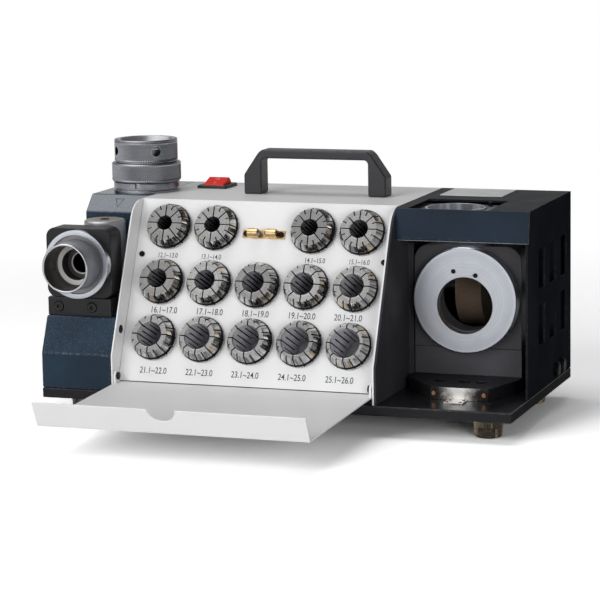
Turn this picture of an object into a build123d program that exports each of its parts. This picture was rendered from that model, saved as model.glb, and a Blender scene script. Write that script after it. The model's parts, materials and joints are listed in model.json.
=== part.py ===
from build123d import *
from math import cos, radians, sin, tan
import os

os.makedirs("parts", exist_ok=True)

# Sizes in millimetres, the floor is at zero height, the front of the machine faces -Y

# Base and casing
base_depth = 212.0
base_thickness = 9.0
foot_height = 19.0
casing_top = 191.0
left_width = 67.5
cabinet_width = 121.5
box_sheet = 1.5
cabinet_sheet = 2.0
kink_height = 60.0
wall_lean = 24.0
wall_corner = 25.0
unit_gap = 0.1
edge_break = 0.8

# Feet and the screws that hold the feet and the handle
foot_inset_x = 28.5
foot_inset_y = 31.0
foot_top_radius = 13.5
foot_bottom_radius = 11.5
screw_radius = 2.4
screw_head_radius = 4.5
screw_head_height = 3.0
screw_length = 16.0
screw_play = 0.2
foot_recess_radius = 6.2
foot_recess_depth = 8.0
foot_round = 2.5

# Collet panel and its grid
panel_setback = 21.5
panel_thickness = 2.0
panel_side_gap = 0.3
panel_top_gap = 2.0
panel_bottom_height = 36.2
column_count = 5
column_gap = 3.8
column_margin = 30.9
column_shift = 0.6
row_count = 3
row_gap = 9.45
first_row_drop = 26.3
panel_screw_drop = 52.4
panel_screw_inset = 6.6
panel_screw_radius = 1.4
panel_screw_head = 2.6
panel_screw_head_height = 1.6
panel_screw_round = 0.7
tab_thickness = 3.0

# Foot strips, rear vents and the small hole in the left wall of the white box
foot_strip = 12.0
foot_strip_start = 30.0
vent_slot_width = 46.0
vent_slot_height = 4.0
vent_column_pitch = 64.0
vent_row_pitch = 10.4
wall_hole_radius = 2.5
wall_hole_setback = 20.3
wall_hole_height = 80.7

# Collets
collet_stand = 14.2
collet_length = 46.0
collet_face_radius = 16.3
collet_cone_radius = 20.1
collet_groove_radius = 18.0
collet_rim_radius = 21.0
collet_body_radius = 19.8
collet_taper = 8.0
collet_hole_play = 0.3
collet_seat_gap = 0.25
collet_rim_height = 3.0
collet_groove_width = 3.6
collet_slots = 8
collet_slot_width = 1.1
collet_slot_depth = 38.0
collet_mouth = 0.7
rear_slot_end = 6.0
tick_reach = 1.2
long_tick_reach = 3.6
long_tick_size = 16

# Front flap and its hinge
hinge_inset = 4.0
hinge_height = 41.5
flap_sheet = 1.5
flap_side_gap = 0.75
flap_droop = 1.5
lid_clearance = 0.4
lid_lip_gap = 0.5
flap_tail = 6.5
lip_length = 23.0
ear_thickness = 2.0
ear_radius = 4.5
hinge_pin_radius = 2.0
hinge_play = 0.05
hinge_pin_head = 3.4
hinge_pin_head_height = 1.6
notch_radius = 12.5
notch_shift = -5.0
notch_depth = 11.4

# Ball catch and its strike
catch_drop = 30.5
catch_length = 40.0
catch_width = 8.0
catch_plate = 1.2
catch_axis = 5.4
ball_radius = 2.8
ball_play = 0.2
strike_thickness = 3.0
strike_width = 6.0
strike_length = 11.0
strike_foot = 1.0
strike_play = 0.35
catch_mouth = 3.8
catch_barrel = 10.0
catch_screw_reach = 16.6

# Carry handle
handle_shift = -1.0
handle_setback = 138.5
handle_span = 136.0
handle_height = 41.0
handle_bar = 8.0
handle_depth = 19.0
handle_leg = 17.0
handle_shoulder = 18.0
handle_slant = 13.5
handle_top_run = 4.0
handle_top_drop = 3.5
handle_inner_round = 4.0

# Power switch
switch_from_left = 36.25
switch_from_back = 37.0
bezel_width = 29.5
bezel_depth = 30.0
bezel_height = 3.0
switch_body_width = 25.5
switch_body_depth = 27.5
switch_body_height = 17.0
rocker_width = 20.0
rocker_radius = 12.0
rocker_crown = 8.4
rocker_sink = 2.0
rocker_tilt = 19.0
rocker_play = 0.4
rocker_pin_radius = 1.2
rocker_pin_length = 1.4

# Right cabinet
cabinet_front_setback = 56.0
header_bottom = 163.5
header_bottom_setback = 57.2
header_top_setback = 62.3
header_sheet = 2.0
header_return = 12.0
cutout_left = 12.0
cutout_width = 72.5
cutout_back_setback = 131.0
window_width = 22.0
window_height = 36.0
window_from_back = (107.0, 68.0, 27.4)
window_heights = (86.4, 136.4)
label_width = 58.5
label_depth = 49.0
label_thickness = 0.8
label_from_wall = 43.25
label_from_back = 31.5
fitting_from_back = (60.0, 40.0)
fitting_height = 37.7
fitting_radius = 6.5
fitting_reach = 4.5
fitting_neck = 4.8
fitting_nut = 4.0

# Right port
port_from_wall = 56.2
port_width = 98.0
wheel_gap = 3.0
port_depth = 23.0
port_top = 155.0
port_corner = 14.0
port_seam = 63.5
port_ring_radius = 47.25
port_ring_thickness = 10.0
port_ring_height = 107.4
port_bore_radius = 25.25
port_bore_drop = 4.5
port_clear_radius = 28.5
port_foot_height = 11.0
foot_front_setback = 43.0
strip_width = 53.0
strip_shift = 7.8
strip_bow = 2.0
strip_screw_inset = 4.0
toe_left_reach = 20.0
toe_right_reach = 10.0
strip_thickness = 1.5
bolt_radius = 2.9
bolt_head_radius = 4.8
bolt_head_height = 5.5
bolt_length = 12.0
bolt_play = 0.3
bolt_sink = 1.0
bolt_setback = 69.7
bolt_shifts = (-17.8, 4.7, 20.3)
small_screw_head = 1.9
small_screw_head_height = 1.0
small_screw_radius = 1.2
small_screw_length = 6.0
index_width = 17.0
index_depth = 15.0
index_thickness = 1.2
index_shift = 7.3
index_setback = 31.5
index_screw_inset = 2.4
pin_radius = 2.0
pin_play = 0.05
pin_sink = 0.8
ring_chamfer = 1.0
ring_pin_spots = ((-10.2, 25.6), (9.8, 22.6))

# Top port
top_port_from_wall = 43.9
top_port_setback = 104.5
top_port_radius = 25.2
top_bush_radius = 27.0
top_block_top = 186.5
top_block_bottom = 164.0
top_block_width = 78.5
top_block_front_setback = 70.0
top_block_back_setback = 135.5
top_bush_stand = 1.5
top_pin_from_wall = 70.0
top_pin_setback = 125.0
top_pin_height = 4.0
press_gap = 0.05

# Left unit
shelf_height = 91.4
column_inset = 7.5
column_front_setback = 88.0
facet_height = 176.4
facet_setback = 103.0
casting_wall = 6.0
casting_roof = 10.0
left_port_from_edge = 32.3
left_port_height = 139.0
left_block_width = 63.2
left_block_front_setback = 17.0
left_block_depth = 23.5
left_block_top = 170.6
left_base_top = 108.0
left_base_width = 61.4
left_block_round = 8.5
left_flange_radius = 30.75
left_flange_inner = 26.5
left_flange_thickness = 8.0
left_flange_recess = 3.0
left_sleeve_radius = 22.15
left_sleeve_bore = 20.0
left_sleeve_length = 32.0
left_bush_front = 7.0
left_bush_radius = 18.5
left_bush_step = 13.0
left_bush_mouth = 14.0
left_bush_bore = 9.0
post_from_edge = 39.0
post_setback = 60.0
post_radius = 18.8
post_top = 173.6
drill_path_radius = 10.0
base_screw_from_edge = (10.8, 43.2)
base_screw_height = 99.4
set_screw_head = 4.2
set_screw_head_height = 3.0
set_screw_radius = 2.0
set_screw_length = 8.0
set_screw_sink = 2.4
socket_share = 0.6

# Setting socket and chuck
chuck_from_edge = 48.8
chuck_setback = 136.0
socket_radius = 30.5
socket_height = 9.5
socket_groove = 0.8
nose_radius = 24.0
nose_play = 0.25
pilot_radius = 16.0
pilot_length = 9.0
pilot_play = 0.4
chuck_bore = 13.5
chuck_flange_radius = 32.0
chuck_flange_height = 17.5
chuck_neck_radius = 21.5
chuck_neck_height = 12.5
nut_radius = 29.3
nut_height = 21.0
nut_play = 0.3
nut_mouth_radius = 25.5
tommy_radius = 4.3
tommy_count = 4
tommy_turn = -48.0
lift_gap = 0.3

# Motor, spindle and wheels
axis_from_back = 52.0
axis_height = 110.5
spindle_radius = 8.0
bearing_play = 0.05
motor_radius = 45.0
motor_right_gap = 27.5
motor_from_wall = 48.5
motor_boss_radius = 22.0
motor_boss_length = 10.0
cradle_width = 120.0
cradle_depth = 70.0
spindle_hole = 15.0
wheel_radius = 36.0
right_wheel_from_wall = 49.0
right_wheel_width = 24.0
left_wheel_from_edge = 37.5
left_wheel_width = 20.0
collar_radius = 14.0
collar_width = 4.0
wheel_nut_radius = 13.0
wheel_nut_height = 8.0
washer_radius = 15.0
washer_thickness = 2.0
spindle_end = 2.0

# Directions of the leaning panel and of the open flap
lean_sin = sin(radians(wall_lean))
lean_cos = cos(radians(wall_lean))
lean_tan = tan(radians(wall_lean))
base_top = foot_height + base_thickness
wall_lean_depth = (casing_top - kink_height) * lean_tan
crease_setback = wall_lean_depth + panel_setback

# Height of the hinge above the panel face and the flap sizes that follow from it
lid_gap = collet_stand + lid_clearance
hinge_back = hinge_inset - crease_setback
hinge_drop = hinge_height - casing_top
hinge_stand = -hinge_back * lean_cos + hinge_drop * lean_sin
hinge_along = hinge_back * lean_sin + hinge_drop * lean_cos
flap_offset = lid_gap - hinge_stand
lid_rise = casing_top + lid_lip_gap - hinge_height
flap_length = (lid_rise - flap_offset * lean_sin) / lean_cos
flap_mitre = flap_sheet * tan(radians((90.0 - wall_lean) / 2.0))
lip_tip_along = flap_length + lip_length * lean_sin
lip_tip_across = flap_offset - lip_length * lean_cos
droop_sin = sin(radians(flap_droop))
droop_cos = cos(radians(flap_droop))
reach_along = lip_tip_along + flap_sheet * lean_cos
reach_across = lip_tip_across + flap_sheet * lean_sin
flap_reach = reach_along * droop_cos - reach_across * droop_sin - hinge_inset

# Widths and setbacks that follow from the collets, the three units and the wheels
column_pitch = 2.0 * collet_rim_radius + column_gap
row_pitch = 2.0 * collet_rim_radius + row_gap
box_width = (column_count - 1) * column_pitch + 2.0 * column_margin
base_width = left_width + box_width + cabinet_width
port_front_setback = base_depth - axis_from_back - wheel_radius - wheel_gap - port_depth
motor_length = box_width - motor_from_wall - motor_right_gap

# Row frame: the origin is under the middle of the whole outline with the flap open
base_x = -fitting_reach / 2.0
base_y = flap_reach / 2.0
left_x = base_x - base_width / 2.0
right_x = base_x + base_width / 2.0
front_y = base_y - base_depth / 2.0
back_y = base_y + base_depth / 2.0
box_left = left_x + left_width
box_right = box_left + box_width
box_x = box_left + box_width / 2.0
crease_y = front_y + crease_setback
hinge_y = front_y + hinge_inset
axis_y = back_y - axis_from_back
port_x = box_right + port_from_wall
port_front_y = front_y + port_front_setback
top_port_x = box_right + top_port_from_wall
top_port_y = front_y + top_port_setback
left_port_x = left_x + left_port_from_edge
left_block_front_y = front_y + left_block_front_setback
left_block_back_y = left_block_front_y + left_block_depth
post_x = left_x + post_from_edge
post_y = front_y + post_setback
chuck_x = left_x + chuck_from_edge
chuck_y = front_y + chuck_setback
handle_x = base_x + handle_shift
handle_y = front_y + handle_setback
switch_x = box_left + switch_from_left
switch_y = back_y - switch_from_back
foot_span_x = base_width - 2.0 * foot_inset_x
foot_span_y = base_depth - 2.0 * foot_inset_y
foot_half_x = foot_span_x / 2.0
foot_half_y = foot_span_y / 2.0
foot_spots = [(base_x + i * foot_half_x, base_y + j * foot_half_y) for i in (-1, 1) for j in (-1, 1)]
handle_screw_reach = (handle_span - handle_leg) / 2.0
handle_spots = [(handle_x - handle_screw_reach, handle_y), (handle_x + handle_screw_reach, handle_y)]

# Work planes: collet panel, flap cross-section and shared directions
panel_normal = Vector(0, -lean_cos, lean_sin)
panel_up = Vector(0, lean_sin, lean_cos)
crease = Vector(box_x, crease_y, casing_top)
panel_plane = Plane(origin=crease, x_dir=(1, 0, 0), z_dir=panel_normal)
hinge = Vector(box_x, hinge_y, hinge_height)
flap_along = Vector(0, -droop_cos, -droop_sin)
flap_across = Vector(0, droop_sin, -droop_cos)
flap_section = Plane(origin=hinge, x_dir=flap_along, z_dir=(1, 0, 0))
flap_width = box_width - 2.0 * box_sheet - 2.0 * flap_side_gap
lip_normal = flap_along * lean_cos + flap_across * lean_sin
upright = (Align.CENTER, Align.CENTER, Align.MIN)

# Side outline shared by the casing walls: upright, then leaning, then rounded into the top
round_run = wall_corner * tan(radians((90.0 - wall_lean) / 2.0))
corner_y = front_y + wall_lean_depth
lean_end = (corner_y - round_run * lean_sin, casing_top - round_run * lean_cos)
top_start = (corner_y + round_run, casing_top)
wall_points = [
    top_start,
    (back_y, casing_top),
    (back_y, base_top),
    (front_y, base_top),
    (front_y, kink_height),
    lean_end,
]


def front_plane(setback):
    """Upright plane at a distance behind the base's front edge, its normal to the front."""
    return Plane.XZ.offset(-(front_y + setback))


def side_plane(x):
    """Upright plane across the machine at a given width position."""
    return Plane.YZ.offset(x)


# Base plate with the holes for the feet and for the right port's bolts
bolt_spots = [(port_x + shift, front_y + bolt_setback) for shift in bolt_shifts]
with BuildPart() as base_plate:
    with BuildSketch(Plane.XY.offset(foot_height)):
        with Locations((base_x, base_y)):
            Rectangle(base_width, base_depth)
    extrude(amount=base_thickness)
    chamfer(base_plate.edges().group_by(Axis.Z)[-1], edge_break)
    with BuildSketch(Plane.XY.offset(foot_height)):
        with Locations(*foot_spots):
            Circle(screw_radius + screw_play)
        with Locations(*bolt_spots):
            Circle(bolt_radius + bolt_play)
    extrude(amount=base_thickness, mode=Mode.SUBTRACT)
base_plate.part.label = "base_plate"
export_step(base_plate.part, "parts/base_plate.step")

# Four rubber feet, hollowed underneath for the screw heads
with BuildPart() as feet:
    with Locations(*foot_spots):
        Cone(foot_bottom_radius, foot_top_radius, foot_height, align=upright)
    fillet(feet.edges().group_by(Axis.Z)[0], foot_round)
    with BuildSketch(Plane.XY):
        with Locations(*foot_spots):
            Circle(foot_recess_radius)
    extrude(amount=foot_recess_depth, mode=Mode.SUBTRACT)
    with BuildSketch(Plane.XY):
        with Locations(*foot_spots):
            Circle(screw_radius + screw_play)
    extrude(amount=foot_height, mode=Mode.SUBTRACT)
feet.part.label = "feet"
export_step(feet.part, "parts/feet.step")

# Six equal pan-head screws, four in the feet and two under the handle
screw_starts = [(x, y, foot_recess_depth - screw_head_height) for x, y in foot_spots]
handle_screw_start = casing_top - box_sheet - screw_head_height
screw_starts += [(x, y, handle_screw_start) for x, y in handle_spots]
shank_starts = [(x, y, z + screw_head_height) for x, y, z in screw_starts]
with BuildPart() as pan_screws:
    with Locations(*screw_starts):
        Cylinder(screw_head_radius, screw_head_height, align=upright)
    with Locations(*shank_starts):
        Cylinder(screw_radius, screw_length, align=upright)
pan_screws.part.label = "pan_screws"
export_step(pan_screws.part, "parts/pan_screws.step")

# White collet box: two side walls, top, back and the folded foot strips
panel_screw_spots = [
    (-(box_width / 2.0 - box_sheet - panel_screw_inset), -panel_screw_drop),
    (box_width / 2.0 - box_sheet - panel_screw_inset, -panel_screw_drop),
]
with BuildPart() as collet_box:
    for wall_x in (box_left, box_right - box_sheet):
        with BuildSketch(side_plane(wall_x)):
            with BuildLine():
                Polyline(*wall_points)
                TangentArc(lean_end, top_start, tangent=(lean_sin, lean_cos))
            make_face()
        extrude(amount=box_sheet)
    with BuildSketch(side_plane(box_left)):
        with BuildLine():
            Polyline(
                (crease_y, casing_top),
                (back_y, casing_top),
                (back_y, base_top),
                (back_y - box_sheet, base_top),
                (back_y - box_sheet, casing_top - box_sheet),
                (crease_y, casing_top - box_sheet),
                close=True,
            )
        make_face()
    extrude(amount=box_width)
    with BuildSketch(Plane.XY.offset(base_top)):
        with Locations((box_left + foot_strip / 2.0, (front_y + foot_strip_start + back_y) / 2.0)):
            Rectangle(foot_strip, base_depth - foot_strip_start)
        with Locations((box_right - foot_strip / 2.0, (front_y + foot_strip_start + back_y) / 2.0)):
            Rectangle(foot_strip, base_depth - foot_strip_start)
    extrude(amount=box_sheet)
    with BuildSketch(panel_plane.offset(-panel_thickness)):
        with Locations(*panel_screw_spots):
            Rectangle(2.0 * panel_screw_inset, 2.0 * panel_screw_inset)
        with Locations(*panel_screw_spots):
            Circle(panel_screw_radius + screw_play, mode=Mode.SUBTRACT)
    extrude(amount=-tab_thickness)
    with BuildSketch(side_plane(box_left)):
        with Locations((axis_y, axis_height)):
            Circle(spindle_hole)
        with Locations((hinge_y, hinge_height)):
            Circle(hinge_pin_radius + hinge_play)
    extrude(amount=box_width, mode=Mode.SUBTRACT)
    with BuildSketch(side_plane(box_left)):
        with Locations((front_y + wall_hole_setback, wall_hole_height)):
            Circle(wall_hole_radius)
    extrude(amount=box_sheet, mode=Mode.SUBTRACT)
    with BuildSketch(Plane.XY.offset(casing_top - box_sheet)):
        with Locations((switch_x, switch_y)):
            Rectangle(switch_body_width + 2.0 * screw_play, switch_body_depth + 2.0 * screw_play)
        with Locations(*handle_spots):
            Circle(screw_radius + screw_play)
    extrude(amount=box_sheet, mode=Mode.SUBTRACT)
    with BuildSketch(Plane.XZ.offset(-back_y)):
        with Locations((box_x, axis_height)):
            with GridLocations(vent_column_pitch, vent_row_pitch, 2, 6):
                SlotOverall(vent_slot_width, vent_slot_height)
    extrude(amount=2.0 * box_sheet, mode=Mode.SUBTRACT)
collet_box.part.label = "collet_box"
export_step(collet_box.part, "parts/collet_box.step")

# Leaning collet panel with fourteen seats
side_columns = column_count // 2
collet_spots = []
for row in range(row_count):
    for column in range(-side_columns, side_columns + 1):
        if row > 0 or column != 0:
            across = column_shift + column * column_pitch
            collet_spots.append((across, -first_row_drop - row * row_pitch))
catch_screw_spots = [(-catch_screw_reach, -catch_drop), (catch_screw_reach, -catch_drop)]
panel_length = (casing_top - panel_bottom_height) / lean_cos - panel_top_gap
panel_middle = -panel_top_gap - panel_length / 2.0
panel_width = box_width - 2.0 * box_sheet - 2.0 * panel_side_gap
with BuildPart() as collet_panel:
    with BuildSketch(panel_plane):
        with Locations((0, panel_middle)):
            Rectangle(panel_width, panel_length)
        with Locations(*collet_spots):
            Circle(collet_body_radius + collet_hole_play, mode=Mode.SUBTRACT)
        with Locations(*panel_screw_spots, *catch_screw_spots):
            Circle(panel_screw_radius + screw_play, mode=Mode.SUBTRACT)
    extrude(amount=-panel_thickness)
collet_panel.part.label = "collet_panel"
export_step(collet_panel.part, "parts/collet_panel.step")

# Four black screws, two hold the panel to the tabs of the box and two hold the catch
with BuildPart() as panel_screws:
    for level, spots in ((0.0, panel_screw_spots), (catch_plate, catch_screw_spots)):
        with BuildSketch(panel_plane.offset(level)):
            with Locations(*spots):
                Circle(panel_screw_head)
        extrude(amount=panel_screw_head_height)
        with BuildSketch(panel_plane.offset(level)):
            with Locations(*spots):
                Circle(panel_screw_radius)
        extrude(amount=-(panel_thickness + tab_thickness))
    for screw in panel_screws.solids():
        crown = screw.edges().filter_by(GeomType.CIRCLE).group_by(Axis.Y)[0]
        fillet(crown, panel_screw_round)
panel_screws.part.label = "panel_screws"
export_step(panel_screws.part, "parts/panel_screws.step")


def make_collet(bore_size, spot):
    """One spring collet in its seat: nose cone, groove, rim, tapered tail, slots and bore."""
    seat = crease + Vector(spot[0], 0, 0) + panel_up * spot[1]
    radial = Plane(origin=seat, x_dir=(1, 0, 0), z_dir=(0, -lean_sin, -lean_cos))
    face = Plane(origin=seat + panel_normal * collet_stand, x_dir=(1, 0, 0), z_dir=panel_normal)
    bore_radius = bore_size / 2.0
    tail = collet_stand - collet_length
    tail_radius = collet_body_radius + tail * tan(radians(collet_taper))
    groove_top = collet_rim_height + collet_groove_width
    slot_reach = 2.0 * collet_rim_radius
    half_turn = 180.0 / collet_slots
    tick_depth = collet_stand - rear_slot_end
    tick_start = collet_face_radius - tick_reach
    if bore_size <= long_tick_size:
        tick_start = collet_face_radius - long_tick_reach
    with BuildPart() as collet:
        with BuildSketch(radial):
            with BuildLine():
                Polyline(
                    (bore_radius, collet_stand - collet_mouth),
                    (bore_radius + collet_mouth, collet_stand),
                    (collet_face_radius, collet_stand),
                    (collet_cone_radius, groove_top),
                    (collet_groove_radius, groove_top),
                    (collet_groove_radius, collet_rim_height),
                    (collet_rim_radius, collet_rim_height),
                    (collet_rim_radius, collet_seat_gap),
                    (collet_body_radius, collet_seat_gap),
                    (tail_radius, tail),
                    (bore_radius, tail),
                    close=True,
                )
            make_face()
        revolve(axis=Axis(seat, panel_normal))
        with BuildSketch(face):
            with PolarLocations(slot_reach / 2.0, collet_slots):
                Rectangle(slot_reach, collet_slot_width)
        extrude(amount=-collet_slot_depth, mode=Mode.SUBTRACT)
        with BuildSketch(face):
            with PolarLocations(tick_start + slot_reach / 2.0, collet_slots, start_angle=half_turn):
                Rectangle(slot_reach, collet_slot_width)
        extrude(amount=-tick_depth, mode=Mode.SUBTRACT)
        with BuildSketch(face.offset(-tick_depth)):
            with PolarLocations(slot_reach / 2.0, collet_slots, start_angle=half_turn):
                Rectangle(slot_reach, collet_slot_width)
        extrude(amount=-collet_length, mode=Mode.SUBTRACT)
    return collet.part


# Fourteen collets, one size apart
first_collet = 13
for index, spot in enumerate(collet_spots):
    collet_name = "collet_%d" % (first_collet + index)
    collet_part = make_collet(first_collet + index, spot)
    collet_part.label = collet_name
    export_step(collet_part, "parts/%s.step" % collet_name)

# Ball catch: foot plate, two barrels facing each other, bores for the balls
catch_plane = Plane(origin=crease - panel_up * catch_drop, x_dir=(1, 0, 0), z_dir=panel_normal)
ball_gap = strike_thickness / 2.0 + strike_play
ball_x = ball_gap + ball_radius
ball_bore = ball_radius + ball_play
with BuildPart() as catch_housing:
    with BuildSketch(catch_plane):
        SlotOverall(catch_length, catch_width)
        with Locations((-catch_screw_reach, 0), (catch_screw_reach, 0)):
            Circle(panel_screw_radius + screw_play, mode=Mode.SUBTRACT)
    extrude(amount=catch_plate)
    for side in (-1, 1):
        barrel_x = side * (catch_mouth + catch_barrel / 2.0)
        with BuildSketch(catch_plane.offset(catch_plate)):
            with Locations((barrel_x, 0)):
                Rectangle(catch_barrel, catch_width * 0.8)
        extrude(amount=catch_axis - catch_plate)
        barrel_foot = catch_plane.origin + Vector(side * catch_mouth, 0, 0) + panel_normal * catch_axis
        barrel_plane = Plane(origin=barrel_foot, x_dir=(0, 1, 0), z_dir=(side, 0, 0))
        with BuildSketch(barrel_plane):
            Circle(catch_width / 2.0)
        extrude(amount=catch_barrel)
        with BuildSketch(barrel_plane):
            Circle(ball_bore)
        extrude(amount=catch_barrel * 0.7, mode=Mode.SUBTRACT)
catch_housing.part.label = "catch_housing"
export_step(catch_housing.part, "parts/catch_housing.step")

ball_centre = catch_plane.origin + panel_normal * catch_axis
with BuildPart() as catch_ball_left:
    with Locations(ball_centre - Vector(ball_x, 0, 0)):
        Sphere(ball_radius)
catch_ball_left.part.label = "catch_ball_left"
export_step(catch_ball_left.part, "parts/catch_ball_left.step")

with BuildPart() as catch_ball_right:
    with Locations(ball_centre + Vector(ball_x, 0, 0)):
        Sphere(ball_radius)
catch_ball_right.part.label = "catch_ball_right"
export_step(catch_ball_right.part, "parts/catch_ball_right.step")

# Front flap, shown open: plate, upturned lip with the finger notch, two hinge ears
lip_edge = hinge + flap_along * lip_tip_along + flap_across * lip_tip_across
lip_in_plate = flap_across * -lean_cos + flap_along * lean_sin
notch_centre = lip_edge + Vector(notch_shift, 0, 0) + lip_in_plate * (notch_radius - notch_depth)
with BuildPart() as flap:
    with BuildSketch(flap_section.offset(-flap_width / 2.0)):
        with BuildLine():
            Polyline(
                (-flap_tail, flap_offset),
                (flap_length, flap_offset),
                (lip_tip_along, lip_tip_across),
                (reach_along, reach_across),
                (flap_length + flap_mitre, flap_offset + flap_sheet),
                (-flap_tail, flap_offset + flap_sheet),
                close=True,
            )
        make_face()
    extrude(amount=flap_width)
    for ear_start in (-flap_width / 2.0, flap_width / 2.0 - ear_thickness):
        with BuildSketch(flap_section.offset(ear_start)):
            Circle(ear_radius)
            with Locations((0, flap_offset / 2.0)):
                Rectangle(2.0 * ear_radius, flap_offset)
        extrude(amount=ear_thickness)
    with BuildSketch(flap_section.offset(-flap_width / 2.0)):
        Circle(hinge_pin_radius + hinge_play)
    extrude(amount=flap_width, mode=Mode.SUBTRACT)
    with BuildSketch(Plane(origin=notch_centre, x_dir=(1, 0, 0), z_dir=lip_normal)):
        Circle(notch_radius)
    extrude(amount=3.0 * flap_sheet, both=True, mode=Mode.SUBTRACT)
flap.part.label = "flap"
export_step(flap.part, "parts/flap.step")

# Brass strike on the flap, it goes between the balls when the flap is shut
strike_along = -catch_drop - hinge_along
strike_origin = hinge + flap_along * strike_along + flap_across * flap_offset
strike_plane = Plane(origin=strike_origin, x_dir=(1, 0, 0), z_dir=flap_across * -1.0)
with BuildPart() as flap_strike:
    with BuildSketch(strike_plane):
        Rectangle(4.0 * strike_thickness, 2.5 * strike_width)
    extrude(amount=strike_foot)
    with BuildSketch(strike_plane):
        Rectangle(strike_thickness, strike_width)
    extrude(amount=strike_length)
flap_strike.part.label = "flap_strike"
export_step(flap_strike.part, "parts/flap_strike.step")

# Two headed hinge pins through the walls and the ears
pin_reach = box_sheet + flap_side_gap + ear_thickness + lift_gap
with BuildPart() as hinge_pins:
    for wall_x, inward in ((box_left, 1), (box_right, -1)):
        with BuildSketch(side_plane(wall_x)):
            with Locations((hinge_y, hinge_height)):
                Circle(hinge_pin_radius)
        extrude(amount=inward * pin_reach)
        with BuildSketch(side_plane(wall_x + inward * pin_reach)):
            with Locations((hinge_y, hinge_height)):
                Circle(hinge_pin_head)
        extrude(amount=inward * hinge_pin_head_height)
hinge_pins.part.label = "hinge_pins"
export_step(hinge_pins.part, "parts/hinge_pins.step")

# Carry handle, a bridge with slanted shoulders
half_span = handle_span / 2.0
handle_under = casing_top + handle_height - handle_bar
with BuildPart() as carry_handle:
    with BuildSketch(Plane.XZ.offset(-handle_y)) as handle_face:
        with BuildLine():
            Polyline(
                (handle_x - half_span, casing_top),
                (handle_x - half_span, casing_top + handle_shoulder),
                (handle_x - half_span + handle_slant, casing_top + handle_height - handle_top_drop),
                (handle_x - half_span + handle_slant + handle_top_run, casing_top + handle_height),
                (handle_x + half_span - handle_slant - handle_top_run, casing_top + handle_height),
                (handle_x + half_span - handle_slant, casing_top + handle_height - handle_top_drop),
                (handle_x + half_span, casing_top + handle_shoulder),
                (handle_x + half_span, casing_top),
                (handle_x + half_span - handle_leg, casing_top),
                (handle_x + half_span - handle_leg, handle_under),
                (handle_x - half_span + handle_leg, handle_under),
                (handle_x - half_span + handle_leg, casing_top),
                close=True,
            )
        make_face()
        inner_corners = [v for v in handle_face.vertices() if abs(v.Y - handle_under) < 0.01]
        fillet(inner_corners, handle_inner_round)
    extrude(amount=handle_depth / 2.0, both=True)
    with BuildSketch(Plane.XY.offset(casing_top)):
        with Locations(*handle_spots):
            Circle(screw_radius + screw_play)
    extrude(amount=screw_length, mode=Mode.SUBTRACT)
carry_handle.part.label = "carry_handle"
export_step(carry_handle.part, "parts/carry_handle.step")

# Switch bezel with its body under the top plate, and the red rocker on two small pins
rocker_z = casing_top - rocker_sink
rocker_slot = rocker_width + 2.0 * rocker_play
with BuildPart() as switch_bezel:
    with BuildSketch(Plane.XY.offset(casing_top)):
        with Locations((switch_x, switch_y)):
            RectangleRounded(bezel_width, bezel_depth, 2.0)
    extrude(amount=bezel_height)
    chamfer(switch_bezel.edges().group_by(Axis.Z)[-1], 0.8)
    with BuildSketch(Plane.XY.offset(casing_top)):
        with Locations((switch_x, switch_y)):
            Rectangle(switch_body_width, switch_body_depth)
    extrude(amount=-switch_body_height)
    with BuildSketch(side_plane(switch_x - rocker_slot / 2.0)):
        with Locations((switch_y, rocker_z)):
            Circle(rocker_radius + rocker_play)
    extrude(amount=rocker_slot, mode=Mode.SUBTRACT)
    for side in (-1, 1):
        with BuildSketch(side_plane(switch_x + side * rocker_slot / 2.0)):
            with Locations((switch_y, rocker_z)):
                Circle(rocker_pin_radius + press_gap)
        extrude(amount=side * rocker_pin_length, mode=Mode.SUBTRACT)
switch_bezel.part.label = "switch_bezel"
export_step(switch_bezel.part, "parts/switch_bezel.step")

rocker_face = Plane(
    origin=(switch_x - rocker_width / 2.0, switch_y, rocker_z),
    x_dir=(0, cos(radians(rocker_tilt)), sin(radians(rocker_tilt))),
    z_dir=(1, 0, 0),
)
with BuildPart() as switch_rocker:
    with BuildSketch(rocker_face):
        Circle(rocker_radius)
        with Locations((0, rocker_crown + rocker_radius)):
            Rectangle(4.0 * rocker_radius, 2.0 * rocker_radius, mode=Mode.SUBTRACT)
    extrude(amount=rocker_width)
    for side in (-1, 1):
        with BuildSketch(side_plane(switch_x + side * rocker_width / 2.0)):
            with Locations((switch_y, rocker_z)):
                Circle(rocker_pin_radius)
        extrude(amount=side * (rocker_play + rocker_pin_length - screw_play))
switch_rocker.part.label = "switch_rocker"
export_step(switch_rocker.part, "parts/switch_rocker.step")

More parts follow.
